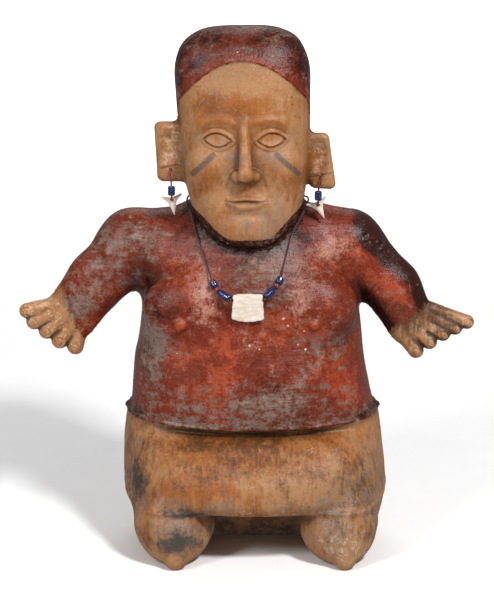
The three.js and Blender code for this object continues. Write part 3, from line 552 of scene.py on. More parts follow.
def clay(x, y, z):
    """The signed distance from the clay, in hundredths of the height."""
    sx = x - swing(z)
    d = np.full(x.shape, FAR)
    low = z < 32
    d[low] = lower_body(sx[low], y[low], z[low])
    high = z > 17
    d[high] = join(d[high], upper_body(x[high], y[high], z[high]), 0.9)
    d[high] -= 0.34 * bell(z[high] - waist_line(sx[high]), 0.42)
    lap = (z > 14) & (z < 27) & (y < -4)
    d[lap] += lap_folds(sx[lap], y[lap], z[lap])
    for nub in nubs:
        near(d, (z > 22) & (z < 30), nub, 0.7, sx, y, z)

    top = z > 52
    tx, ty, tz = x[top], y[top], z[top]
    flaps = np.where(tx < 0, left_ear(tx, ty, tz), right_ear(tx, ty, tz))
    d[top] = join(d[top], join(head(tx, ty, tz), flaps, 1.3), 1.1)
    return d


CHUNK = 60000


def in_chunks(form, points):
    """A form's distance at many points, a chunk at a time to spare the memory."""
    parts = [form(*points[i : i + CHUNK].T) for i in range(0, len(points), CHUNK)]
    return np.concatenate(parts) if parts else np.zeros(0)


def slope_at(form, points, step=0.02):
    """The gradient of the form's distance at each point."""
    gradient = np.empty_like(points)
    for axis in range(3):
        shift = np.zeros(3)
        shift[axis] = step
        gradient[:, axis] = in_chunks(form, points + shift) - in_chunks(form, points - shift)
    return gradient / (2 * step)


def unit_normals(form, points):
    """The form's normal of length one at each point."""
    normals = slope_at(form, points)
    return normals / np.linalg.norm(normals, axis=1, keepdims=True)


def settle(form, points, distance=0.0, rounds=2):
    """Moves each point along the slope until it stands at that distance from the form."""
    points = np.array(points, float)
    for _ in range(rounds):
        gradient = slope_at(form, points)
        square = np.maximum((gradient**2).sum(1), 0.05)
        points -= gradient * ((in_chunks(form, points) - distance) / square)[:, None]
    return points


def grid_lines(low, high, pitch, fine=()):
    """Grid lines from low to high, closer together inside the stretches of (start, end, pitch)."""
    lines = [low]
    while lines[-1] < high:
        close = [p for start, end, p in fine if start <= lines[-1] < end]
        lines.append(lines[-1] + min(close, default=pitch))
    return np.array(lines)


BLOCK = 4


def field(form, xs, ys, zs):
    """The form's distance on the grid, worked out only in the blocks near the surface."""
    shape = tuple(len(lines) for lines in (xs, ys, zs))
    middles = []
    reach = 0
    for lines in (xs, ys, zs):
        starts = np.arange(0, len(lines), BLOCK)
        ends = np.minimum(starts + BLOCK, len(lines) - 1)
        middles.append((lines[starts] + lines[ends]) / 2)
        reach += (lines[ends] - lines[starts]).max() ** 2 / 4
    centres = np.stack(np.meshgrid(*middles, indexing="ij"), -1).reshape(-1, 3)
    value = in_chunks(form, centres).reshape([len(m) for m in middles])
    for axis, count in enumerate(shape):
        value = np.take(np.repeat(value, BLOCK, axis), np.arange(count), axis)
    close = np.argwhere(np.abs(value) < 1.6 * math.sqrt(reach))
    points = np.stack([xs[close[:, 0]], ys[close[:, 1]], zs[close[:, 2]]], 1)
    value[tuple(close.T)] = in_chunks(form, points)
    return value


def trace_surface(form, xs, ys, zs):
    """Quads of a form's surface: a point in each crossed cell, a face on each crossed edge."""
    value = field(form, xs, ys, zs)
    inside = value < 0
    cells = tuple(n - 1 for n in value.shape)
    corners = [(a, b, c) for a in (0, 1) for b in (0, 1) for c in (0, 1)]
    count = np.zeros(cells, np.int8)
    for a, b, c in corners:
        count += inside[a : a + cells[0], b : b + cells[1], c : c + cells[2]]
    crossed = np.argwhere((count > 0) & (count < 8))
    index = np.full(cells, -1)
    index[tuple(crossed.T)] = np.arange(len(crossed))
    total = np.zeros((len(crossed), 3))
    crossings = np.zeros(len(crossed))
    for a in corners:
        for axis in range(3):
            if a[axis]:
                continue
            along = np.arange(3) == axis
            va = value[tuple((crossed + a).T)]
            vb = value[tuple((crossed + a + along).T)]
            hit = (va < 0) != (vb < 0)
            t = np.where(hit, va / np.where(hit, va - vb, 1), 0)
            total += (np.array(a, float) + t[:, None] * along) * hit[:, None]
            crossings += hit
    share = total / crossings[:, None]
    points = np.empty_like(share)
    for axis, lines in enumerate((xs, ys, zs)):
        at = crossed[:, axis]
        points[:, axis] = mix(lines[at], lines[at + 1], share[:, axis])
    quads = []
    steps = np.eye(3, dtype=int)
    for axis in range(3):
        s, t = steps[(axis + 1) % 3], steps[(axis + 2) % 3]
        edge = np.argwhere(np.diff(inside, axis=axis))
        edge = edge[((edge * (s + t)).astype(bool) | ~(s + t).astype(bool)).all(1)]
        ring = np.stack([index[tuple((edge - o).T)] for o in (0 * s, s, s + t, t)], 1)
        outward = inside[tuple(edge.T)]
        ring[~outward] = ring[~outward][:, ::-1]
        quads.append(ring)
    return points, np.concatenate(quads).tolist()


def refine(points, faces, wanted):
    """Splits each quad whose middle is wanted in four. Its neighbours take in the new points."""
    points = [tuple(p) for p in points]
    middles = np.array([np.mean([points[i] for i in face], axis=0) for face in faces])
    chosen = wanted(*middles.T)
    halves = {}

    def half(a, b):
        key = (min(a, b), max(a, b))
        if key not in halves:
            halves[key] = len(points)
            points.append(tuple((p + q) / 2 for p, q in zip(points[a], points[b])))
        return halves[key]

    split = []
    kept = []
    for face, middle, choice in zip(faces, middles, chosen):
        if not choice or len(face) != 4:
            kept.append(face)
            continue
        ring = [half(a, b) for a, b in zip(face, face[1:] + face[:1])]
        centre = len(points)
        points.append(tuple(middle))
        split += [[face[i], ring[i], centre, ring[i - 1]] for i in range(4)]
    for face in kept:
        whole = []
        for a, b in zip(face, face[1:] + face[:1]):
            whole.append(a)
            middle = halves.get((min(a, b), max(a, b)))
            if middle is not None:
                whole.append(middle)
        split.append(whole)
    return np.array(points), split


def make_mesh(name, points, faces, normals=None):
    mesh = bpy.data.meshes.new(name)
    mesh.from_pydata(np.asarray(points).tolist(), [], faces)
    mesh.update()
    mesh.shade_smooth()
    if normals is not None:
        mesh.normals_split_custom_set_from_vertices(np.asarray(normals).tolist())
    piece = bpy.data.objects.new(name, mesh)
    bpy.context.collection.objects.link(piece)
    return piece


def dress(piece, nodes, slot, material):
    """A shown piece moves with the one body, stands for its nodes and has its own material."""
    piece.data.materials.append(material)
    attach(piece, "root")
    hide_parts(*nodes)
    return piece


def finished(x, y, z):
    """The clay with its slow unevenness, cut flat where it rests."""
    worked = ease(0.3, 3, z) * (1 - 0.75 * bell(length(x, y + 15, z - 75), 14))
    return np.maximum(clay(x, y, z) - unevenness(x, y, z) * worked, -z)


def within(ranges, *values):
    """True where the values lie inside any of the boxes."""
    found = np.zeros(values[0].shape, bool)
    for box in ranges:
        inside = np.ones(values[0].shape, bool)
        for (low, high), v in zip(box, values):
            inside &= (v > low) & (v < high)
        found |= inside
    return found


def clay_cut(x, y, z):
    return np.maximum(clay(x, y, z), -z)


ANY = (-99, 99)
# Boxes where the faces are split once, round the face, ears, hands, nipples and shoulders.
DETAIL = [
    ((-11, 10), (-20, -9), (60, 88)),
    ((-18.5, -11.5), ANY, (70, 83)),
    ((10, 17), ANY, (68.5, 81)),
    ((-46, -32), (-9, -3), (36, 48)),
    ((30, 45), (-9, -3), (35, 47)),
    ((-16, -10), (-20, -12), (42, 48)),
    ((9, 15.2), (-20, -12), (42, 48)),
    ((-30, -20), (-12, -2), (54, 63)),
    ((19.5, 27.5), (-12, -2), (55.5, 63)),
]
FACE_BOX = ((-9, 7.8), (-20, -11), (65.4, 84.8))


def detailed(x, y, z):
    """Where the faces are split once."""
    found = within(DETAIL, x, y, z)
    edge = cap_edge(x - head_x(z), y)
    found |= (np.abs(z - edge) < 1.2) & (z > 65)
    found |= np.abs(z - waist_line(x)) < 1.4
    return found | ((np.abs(z - HEM_Z) < 1.2) & (y < -12))


def finest(x, y, z):
    """Where the faces are split twice."""
    edge = cap_edge(x - head_x(z), y)
    return within([FACE_BOX], x, y, z) | ((np.abs(z - edge) < 0.6) & (z > 65))


HOLE_PITCH = 0.22
FRONT_PITCH = 0.5
# The reach of the grid, and where it is closer over the hands and the front.
GRID_X = (-46.5, 45.5)
GRID_Y = (-29, 21.5)
GRID_Z = (-1.5, 101.5)
HANDS_X = [(-45, -32), (31, 44.5)]
HANDS_Z = (36, 47.5)
FRONT_Y = (-18.6, -11.5)


def make_figure():
    holes = [flap["hole"] for flap in EARS.values()]
    fine_x = [(x - 1.1, x + 1.1, HOLE_PITCH) for x, _ in holes]
    fine_x += [(*hand, FINE_PITCH) for hand in HANDS_X]
    fine_z = [(z - 0.9, z + 0.9, HOLE_PITCH) for _, z in holes]
    fine_z += [(*HANDS_Z, FINE_PITCH)]
    xs = grid_lines(*GRID_X, PITCH, fine_x)
    ys = grid_lines(*GRID_Y, PITCH, [(*FRONT_Y, FRONT_PITCH)])
    zs = grid_lines(*GRID_Z, PITCH, fine_z)
    points, faces = trace_surface(clay_cut, xs, ys, zs)
    points = settle(finished, points)
    points, faces = refine(points, faces, detailed)
    points = settle(finished, points, rounds=1)
    points, faces = refine(points, faces, finest)
    points = settle(finished, points)
    piece = make_mesh("clay_figure", points * UNIT * MM, faces, unit_normals(finished, points))
    return piece, points


# What hangs on the clay. Points and sizes are in millimetres, as lengths of the real pieces.
STAND_OFF = 0.9
BEAD_GAP = 1.2
KNOT_GAP = 0.4
STRING_DIAMETER = 1.5
THREAD_DIAMETER = 1.6
BORE_CLEARANCE = 0.6
BEAD_DIAMETER = 6.3
LONG_BEAD_LENGTH = 10.5
END_BEAD_LENGTH = 5.6
SPACER_DIAMETER = 4.8
SPACER_LENGTH = 3.2
EAR_BEAD_DIAMETER = 5.6
EAR_BEAD_LENGTH = 7.4
PLAQUE_TOP_WIDTH = 22.4
PLAQUE_BOTTOM_WIDTH = 25
PLAQUE_HEIGHT = 19.5
PLAQUE_SAG = 2.4
PLAQUE_THICKNESS = 4
PLAQUE_BORE_DROP = 4.4
TOOTH_LENGTH = 17.2
TOOTH_SPAN = 17
TOOTH_THICKNESS = 2.6
TOOTH_HOLE_DROP = 3.6
KNOT_RADIUS = 2
THREAD_BEND = 3.4
THREAD_STAND_OFF = 0.4
THREAD_DROP = 11.5
STRING_BORE = STRING_DIAMETER / 2 + BORE_CLEARANCE
THREAD_BORE = THREAD_DIAMETER / 2 + BORE_CLEARANCE


def on_clay(points, distance):
    """Points in millimetres, moved to stand that far from the clay."""
    points = np.array(points, float).reshape(-1, 3)
    return settle(clay, points / UNIT, distance / UNIT, rounds=6) * UNIT


def smooth_line(points, step):
    """Points about a step apart along one smooth curve through the given ones."""
    points = np.array(points, float)
    before, beyond = 2 * points[0] - points[1], 2 * points[-1] - points[-2]
    padded = [before, *points, beyond]
    line = []
    for a, b, c, d in zip(padded, padded[1:], padded[2:], padded[3:]):
        pace = [max(np.linalg.norm(q - p), 1e-6) ** 0.5 for p, q in ((a, b), (b, c), (c, d))]
        leave = (b - a) / pace[0] - (c - a) / (pace[0] + pace[1]) + (c - b) / pace[1]
        enter = (c - b) / pace[1] - (d - b) / (pace[1] + pace[2]) + (d - c) / pace[2]
        count = max(int(round(np.linalg.norm(c - b) / step)), 1)
        t = np.arange(count)[:, None] / count
        line.append(hermite(b, leave * pace[1], c, enter * pace[1], t))
    return np.concatenate(line + [points[-1:]])


TWIST_LENGTH = 3.4
CORD_STEP = 0.42
CORD_SIDES = 14


def twisted_cord(name, route, diameter):
    """Two plies laid round each other along the route, closed at both ends."""
    line = smooth_line(route, CORD_STEP)
    forward = np.gradient(line, axis=0)
    forward /= np.linalg.norm(forward, axis=1, keepdims=True)
    across = np.cross(forward[0], (0.3, 0.9, 0.2))
    angles = np.linspace(0, 2 * math.pi, CORD_SIDES, endpoint=False)
    run = np.concatenate([[0], np.cumsum(np.linalg.norm(np.diff(line, axis=0), axis=1))])
    points = []
    for centre, ahead, far in zip(line, forward, run):
        across = across - ahead * (across @ ahead)
        across /= np.linalg.norm(across)
        beside = np.cross(ahead, across)
        turned = angles - 2 * math.pi * far / TWIST_LENGTH
        radius = diameter / 2 * (0.78 + 0.22 * np.cos(2 * turned))
        ring = np.outer(radius * np.cos(angles), across) + np.outer(radius * np.sin(angles), beside)
        points.append(centre + ring)
    n = CORD_SIDES
    faces = [list(range(n))[::-1], list(range(n * (len(line) - 1), n * len(line)))]
    for i in range(len(line) - 1):
        for j in range(n):
            k = (j + 1) % n
            faces.append([i * n + j, i * n + k, (i + 1) * n + k, (i + 1) * n + j])
    return make_mesh(name, np.concatenate(points) * MM, faces), line * MM


def plaque_half_width(drop):
    return mix(PLAQUE_TOP_WIDTH, PLAQUE_BOTTOM_WIDTH, drop / PLAQUE_HEIGHT) / 2


PLAQUE_TOP = (-0.4, 51.25)


def plaque_place():
    """The turn and the origin of the plaque, whose back is brought clear of the clay."""
    x, z = PLAQUE_TOP[0] * UNIT, PLAQUE_TOP[1] * UNIT
    foot_z = z - PLAQUE_HEIGHT - PLAQUE_SAG
    top, foot = on_clay([(x, -15 * UNIT, z), (x, -16 * UNIT, foot_z)], STAND_OFF)
    tilt = math.atan2(foot[1] - top[1], top[2] - foot[2])
    turn = np.array(Matrix.Rotation(math.pi / 2 - tilt, 3, "X"))
    origin = np.array([x, top[1] - PLAQUE_THICKNESS / 2, z])
    backs = []
    for across in (-1, -0.5, 0, 0.5, 1):
        for drop in (0, 0.35, 0.7, 1, 1.12):
            sideways = across * plaque_half_width(drop * PLAQUE_HEIGHT)
            backs.append(turn @ (sideways, -drop * PLAQUE_HEIGHT, -PLAQUE_THICKNESS / 2))
    for _ in range(6):
        closest = in_chunks(clay, (np.array(backs) + origin) / UNIT).min() * UNIT
        origin[1] += closest - STAND_OFF
    return turn, origin


CHAINS = {
    "left": {"side": -1, "gap": 2, "slopes": (26, 44, 60)},
    "right": {"side": 1, "gap": 2.7, "slopes": (43, 42, 60)},
}
LINKS = [
    ("long_bead", LONG_BEAD_LENGTH, BEAD_DIAMETER),
    ("spacer_bead", SPACER_LENGTH, SPACER_DIAMETER),
    ("end_bead", END_BEAD_LENGTH, BEAD_DIAMETER),
]
NAPE = (0, 10.6, 66.4)
STRAND = {
    "left": [
        (-7.8, -12.6, 55), (-8.9, -10.6, 57.9), (-10, -8.4, 60.9), (-10.7, -5.8, 64.3),
        (-11.5, -3, 65.7), (-10.9, 2.6, 66.2), (-7.4, 7.4, 66.4),
    ],
    "right": [
        (6.2, -12.7, 55.4), (6.9, -11.2, 57.9), (7.7, -9.2, 60.8), (9.2, -6.9, 63.8),
        (10.6, -3, 65.9), (10.4, 2.6, 66.2), (7, 7.4, 66.4),
    ],
}


def chain(side, gap, slopes, start):
    """The ends of each bead beside the plaque, and the string's route through them."""
    ends, route = [], []
    at = start
    for (name, long, diameter), degrees in zip(LINKS, slopes):
        slope = math.radians(degrees)
        along = np.array([side * math.cos(slope), 0, math.sin(slope)])
        off = STAND_OFF + diameter / 2
        near_end = at + along * gap
        near_end[1] = min(near_end[1], on_clay(near_end, off)[0][1])
        far_end = near_end + along * long
        far_end[1] = on_clay(far_end, off)[0][1]
        far_end = near_end + (far_end - near_end) * long / np.linalg.norm(far_end - near_end)
        ends.append((name, near_end, far_end, diameter))
        route += [near_end, (near_end + far_end) / 2, far_end]
        at, gap = far_end, BEAD_GAP
    return ends, route


def frame_along(start, end):
    """A turn that takes Z to the line from start to end."""
    return np.array(Vector(end - start).to_track_quat("Z", "X").to_matrix())


BEAD_SIDES = 40


def make_bead(name, start, end, diameter, bore):
    """A glass bead turned about the line between its ends, a little uneven as hot glass is."""
    half = np.linalg.norm(end - start) / 2
    r = diameter / 2
    corner = 0.24 * diameter
    arc = np.linspace(0, math.pi / 2, 7)
    upper = [(r - corner + corner * math.cos(a), half - 0.8 * corner * (1 - math.sin(a))) for a in arc]
    lower = [(x, -y) for x, y in upper[::-1]]
    lip = 0.25
    inner = [(bore + lip, half), (bore, half - lip), (bore, 0), (bore, lip - half), (bore + lip, -half)]
    profile = np.array(lower + [(r * 1.015, 0)] + upper + inner)
    wave = RANDOM.uniform(0, 2 * math.pi, 4)
    turn = frame_along(start, end)
    points = []
    for angle in np.linspace(0, 2 * math.pi, BEAD_SIDES, endpoint=False):
        swell = 0.014 * math.sin(2 * angle + wave[0]) + 0.01 * math.sin(3 * angle + wave[1])
        for radius, height in profile:
            if radius > bore + lip:
                radius *= 0.985 + swell + 0.012 * math.sin(3.1 * height + angle + wave[2])
            skew = 0.05 * radius * math.cos(angle + wave[3]) * (height > 0)
            points.append((radius * math.cos(angle), radius * math.sin(angle), height - skew))
    n = len(profile)
    faces = []
    for i in range(BEAD_SIDES):
        k = (i + 1) % BEAD_SIDES
        for j in range(n):
            m = (j + 1) % n
            faces.append([i * n + j, k * n + j, k * n + m, i * n + m])
    points = np.array(points) @ turn.T + (start + end) / 2
    return make_mesh(name, points * MM, faces)


def make_knot(name, centre, axis, diameter):
    """An overhand knot of the same two-ply cord, drawn tight."""
    t = np.linspace(0, 2 * math.pi, 37)[:-1]
    across = np.sin(t) + 1.7 * np.sin(2 * t)
    beside = np.cos(t) - 1.7 * np.cos(2 * t)
    loop = np.stack([across, beside, -1.15 * np.sin(3 * t)], 1)
    loop *= (KNOT_RADIUS - diameter * 0.36) / 2.75
    turn = frame_along(np.zeros(3), np.array(axis, float))
    route = loop @ turn.T + centre
    piece, _ = twisted_cord(name, np.concatenate([route, route[:1]]), diameter * 0.85)
    return piece


def traced_piece(name, form, low, high, pitch, turn, origin):
    """A small piece whose form is given in its own frame."""
    lines = [grid_lines(a - 2 * pitch, b + 2 * pitch, pitch) for a, b in zip(low, high)]
    points, faces = trace_surface(form, *lines)
    points = settle(form, points)
    normals = unit_normals(form, points) @ turn.T
    return make_mesh(name, (points @ turn.T + origin) * MM, faces, normals)


def plaque_form(x, y, z):
    """A thin hand-cut plate, softly crowned, with a bore from side to side."""
    half = plaque_half_width(-y) - 0.25 + 0.16 * np.sin(0.9 * y + np.where(x > 0, 1, 4))
    lower = -PLAQUE_HEIGHT - PLAQUE_SAG * (1 - (x / half) ** 2) + 0.12 * np.sin(1.1 * x)
    upper = 0.5 * (1 - (x / half) ** 2) - 0.5 * bell(x + 10.2, 1.2) + 0.1 * np.sin(0.8 * x + 1)
    side = np.abs(x) - half
    outline = -join(join(-side, y - lower, 1.1), upper - y, 0.8)
    crown = PLAQUE_THICKNESS / 2 - 0.28 * (x / 12.5) ** 2 - 0.22 * ((y + 11) / 11) ** 2
    crown = crown - 0.06 * np.sin(0.55 * x + 0.8 * y) * np.sin(0.5 * y - 0.3 * x)
    d = -join(-outline, crown - np.abs(z), 1.1)
    d = cut(d, length(y + PLAQUE_BORE_DROP, z) - STRING_BORE, 0.3)
    nick = length(x + plaque_half_width(4.4) - 0.1, y + 3.3, 0.4 * (z - 2)) - 0.75
    return cut(d, nick, 0.4)


def blade(start, end, radii):
    (ax, ay), (bx, by) = start, end
    ex, ey = bx - ax, by - ay

    def form(x, y):
        t = clamp(((x - ax) * ex + (y - ay) * ey) / (ex * ex + ey * ey), 0, 1)
        return length(x - ax - t * ex, y - ay - t * ey) - mix(radii[0], radii[1], t)

    return form


def tooth_form(x, y, z):
    """A flat shark's tooth: two root lobes and one blade, drilled near the top."""
    w, h = TOOTH_SPAN / 2, TOOTH_LENGTH - TOOTH_HOLE_DROP
    wing_y = TOOTH_HOLE_DROP * 0.95
    outline = blade((0, -0.9), (0.3, 0.1 - h), (3.2, 0.3))(x, y)
    for side in (-1, 1):
        wing = blade((side * 1.2, -0.4), (side * (w - 0.85), wing_y), (2.3, 0.8))(x, y)
        outline = join(outline, wing, 1.8)
    thick = TOOTH_THICKNESS / 2 * (1 - 0.55 * ease(-2, -h, y))
    rim = thick - 0.9 * ease(-1.6, 0.2, outline)
    d = -join(-outline, rim - np.abs(z), 0.7)
    return cut(d, length(x, y) - THREAD_BORE, 0.25)


HANG = {
    "left": {"sway": 0.7, "turn": -0.14},
    "right": {"sway": -2.2, "turn": -0.42},
}


def pendant(which, sway, turn):
    """The thread's route, its knots, and where the bead and the tooth hang."""
    x, z = (v * UNIT for v in EARS[which]["hole"])
    thick = EARS[which]["half"][1] * UNIT
    back, front = EAR_Y * UNIT + thick, EAR_Y * UNIT - thick
    hang = front - THREAD_BEND - THREAD_STAND_OFF

    def arc(cx, cy, cz, start, end):
        angles = np.radians(np.linspace(start, end, 5))
        ys, zs = cy + THREAD_BEND * np.cos(angles), cz + THREAD_BEND * np.sin(angles)
        return [np.array([cx, y, z]) for y, z in zip(ys, zs)]

    bead_top = np.array([x + sway, hang, z - THREAD_DROP])
    bead_foot = bead_top - (0, 0, EAR_BEAD_LENGTH)
    turn_z = bead_foot[2] - 0.6
    tooth_y = hang + THREAD_BEND + THREAD_STAND_OFF + TOOTH_THICKNESS / 2
    tooth = np.array([x + sway, tooth_y, turn_z - THREAD_BEND])
    lobe_knot = np.array([x, back + STAND_OFF + KNOT_RADIUS, z])
    tooth_knot = tooth + (0, TOOTH_THICKNESS / 2 + KNOT_GAP + KNOT_RADIUS, 0)
    reach = np.array([0, KNOT_RADIUS + KNOT_GAP, 0])
    route = [lobe_knot - reach, *arc(x, front - THREAD_STAND_OFF, z - THREAD_BEND, 90, 180)]
    route += [bead_top, (bead_top + bead_foot) / 2, bead_foot]
    route += [*arc(x + sway, hang + THREAD_BEND, turn_z, 180, 270), tooth_knot - reach]
    tooth_turn = np.array(Matrix.Rotation(turn, 3, "Y") @ Matrix.Rotation(math.pi / 2, 3, "X"))
    return route, lobe_knot, tooth_knot, (bead_top, bead_foot), (tooth, tooth_turn)


# The photograph's height, its lens and the place of the lens's middle, in its own pixels.
PICTURE_HEIGHT = 610
FOCAL_LENGTH = 1933
MIDDLE_RIGHT = -3
MIDDLE_UP = -14
# The camera's place in the frame: degrees above the level, then metres.
CAMERA_ELEVATION = 12
CAMERA_DISTANCE = 1.5
CAMERA_TARGET = (0, -0.01, 0.195)


def make_camera():
    """The photograph's view of the figure."""
    data = bpy.data.cameras.new("camera")
    camera = bpy.data.objects.new("camera", data)
    bpy.context.collection.objects.link(camera)
    elevation = math.radians(CAMERA_ELEVATION)
    away = Vector((0, -math.cos(elevation), math.sin(elevation)))
    camera.location = Vector(CAMERA_TARGET) + CAMERA_DISTANCE * away
    camera.rotation_euler = (math.pi / 2 - elevation, 0, 0)
    data.sensor_width = 36
    data.lens = data.sensor_width * FOCAL_LENGTH / PICTURE_HEIGHT
    data.shift_x = MIDDLE_RIGHT / PICTURE_HEIGHT
    data.shift_y = MIDDLE_UP / PICTURE_HEIGHT
    bpy.context.scene.camera = camera


class Paint:
    """A material's nodes, made by short calls. Sizes are in millimetres on the object itself."""

    def __init__(self, name, **shine):
        self.material = bpy.data.materials.new(name)
        self.material.use_nodes = True
        self.tree = self.material.node_tree
        self.shader = self.tree.nodes["Principled BSDF"]
        self.place = self.add("ShaderNodeTexCoord").outputs["Object"]
        for socket, value in shine.items():
            self.shader.inputs[socket.replace("_", " ")].default_value = value

    def add(self, kind, **settings):
        node = self.tree.nodes.new(kind)
        for key, value in settings.items():
            setattr(node, key, value)
        return node

    def feed(self, socket, value):
        if isinstance(value, bpy.types.NodeSocket):
            self.tree.links.new(value, socket)
        elif isinstance(value, tuple) and len(value) == 3 and socket.type == "RGBA":
            socket.default_value = (*value, 1)
        else:
            socket.default_value = value

    def math(self, operation, a, b=0.0):
        node = self.add("ShaderNodeMath", operation=operation)
        self.feed(node.inputs[0], a)
        self.feed(node.inputs[1], b)
        return node.outputs[0]

    def plus(self, a, b, share=1.0):
        return self.math("ADD", a, b if share == 1.0 else self.math("MULTIPLY", b, share))

    def total(self, value, *parts):
        """The value with a share of each other one added, each given as (value, share)."""
        for part, share in parts:
            value = self.plus(value, part, share)
        return value

    def cover(self, under, over, share, most):
        """A colour laid over another by a share that is never more than most."""
        return self.mix(under, over, self.math("MULTIPLY", share, most))

    def stretched(self, stretch):
        node = self.add("ShaderNodeMapping")
        self.feed(node.inputs["Vector"], self.place)
        node.inputs["Scale"].default_value = stretch
        return node.outputs[0]

    def noise(self, size, detail=3.0, roughness=0.55, stretch=(1, 1, 1), bend=0.0):
        """Noise centred on nought, mostly within half a unit of it."""
        node = self.add("ShaderNodeTexNoise")
        self.feed(node.inputs["Vector"], self.stretched(stretch))
        node.inputs["Scale"].default_value = 1000 / size
        node.inputs["Detail"].default_value = detail
        node.inputs["Roughness"].default_value = roughness
        node.inputs["Distortion"].default_value = bend
        return self.math("MULTIPLY", self.math("SUBTRACT", node.outputs["Fac"], 0.5), 2.2)

    def cells(self, size, feature="F1", stretch=(1, 1, 1)):
        node = self.add("ShaderNodeTexVoronoi", feature=feature)
        self.feed(node.inputs["Vector"], self.stretched(stretch))
        node.inputs["Scale"].default_value = 1000 / size
        return node

    def specks(self, size, radius, share):
        """Round specks in some of the cells of that size, with a share of the cells filled."""
        node = self.cells(size)
        split = self.add("ShaderNodeSeparateColor")
        self.feed(split.inputs[0], node.outputs["Color"])
        spot = self.math("MULTIPLY", split.outputs[0], radius)
        inside = self.math("SUBTRACT", spot, node.outputs["Distance"])
        chosen = self.math("GREATER_THAN", split.outputs[1], 1 - share)
        return self.math("MULTIPLY", self.step(inside, 0.0, 0.12), chosen)

    def step(self, value, low, high):
        """From 0 to 1 as the value goes from low to high."""
        node = self.add("ShaderNodeMapRange", interpolation_type="SMOOTHSTEP")
        self.feed(node.inputs["Value"], value)
        self.feed(node.inputs["From Min"], low)
        self.feed(node.inputs["From Max"], high)
        return node.outputs[0]

    def mix(self, a, b, share, blend="MIX"):
        node = self.add("ShaderNodeMix", data_type="RGBA", blend_type=blend)
        self.feed(node.inputs["Factor"], share)
        self.feed(node.inputs["A"], a)
        self.feed(node.inputs["B"], b)
        return node.outputs["Result"]

    def layer(self, name):
        """A value kept on the mesh's own points."""
        node = self.add("ShaderNodeAttribute", attribute_name=name)
        return node.outputs["Fac"]

    def bump(self, height, depth):
        """Height in units of depth, in millimetres."""
        node = self.add("ShaderNodeBump")
        node.inputs["Strength"].default_value = 1
        self.feed(node.inputs["Distance"], depth * MM)
        self.feed(node.inputs["Height"], height)
        self.feed(self.shader.inputs["Normal"], node.outputs[0])

    def colour(self, value):
        self.feed(self.shader.inputs["Base Color"], value)

    def gloss(self, value):
        self.feed(self.shader.inputs["Roughness"], value)


# Colours of the slip, the clay and the ornaments, in linear light.
DARK_SLIP_AND_SHADOW = (0.026, 0.005, 0.003)
RED_SLIP = (0.14, 0.019, 0.007)
BRIGHT_SLIP = (0.3, 0.046, 0.014)
HIGHLIGHT_PINK = (0.36, 0.165, 0.12)
LILAC = (0.205, 0.132, 0.107)
GREY_BROWN = (0.08, 0.043, 0.026)
BUFF = (0.32, 0.158, 0.07)
CREAM = (0.48, 0.3, 0.175)
OCHRE = (0.27, 0.09, 0.02)
GOLD = (0.19, 0.056, 0.009)
UMBER = (0.06, 0.026, 0.011)
MAUVE = (0.2, 0.135, 0.1)
SOOT_AND_SHADE = (0.035, 0.032, 0.03)
SPECK = (0.75, 0.5, 0.38)
STRIPE_GREY = (0.06, 0.048, 0.045)
PIT_BROWN = (0.03, 0.018, 0.012)
SCRATCH_PINK = (0.5, 0.28, 0.2)
DUST = (0.3, 0.27, 0.26)
SHELL_DEEP = (0.6, 0.51, 0.42)
SHELL_LIGHT = (0.7, 0.63, 0.55)
SHELL_BLUSH = (0.62, 0.38, 0.26)
SHELL_STAIN = (0.42, 0.38, 0.24)
BLUE_GLASS = [(0.003, 0.006, 0.04), (0.014, 0.05, 0.23)]
RED_GLASS = [(0.1, 0.012, 0.012), (0.33, 0.05, 0.045)]
STRING_COLOURS = [(0.02, 0.004, 0.005), (0.11, 0.016, 0.018)]
THREAD_COLOURS = [(0.07, 0.004, 0.006), (0.26, 0.016, 0.02)]


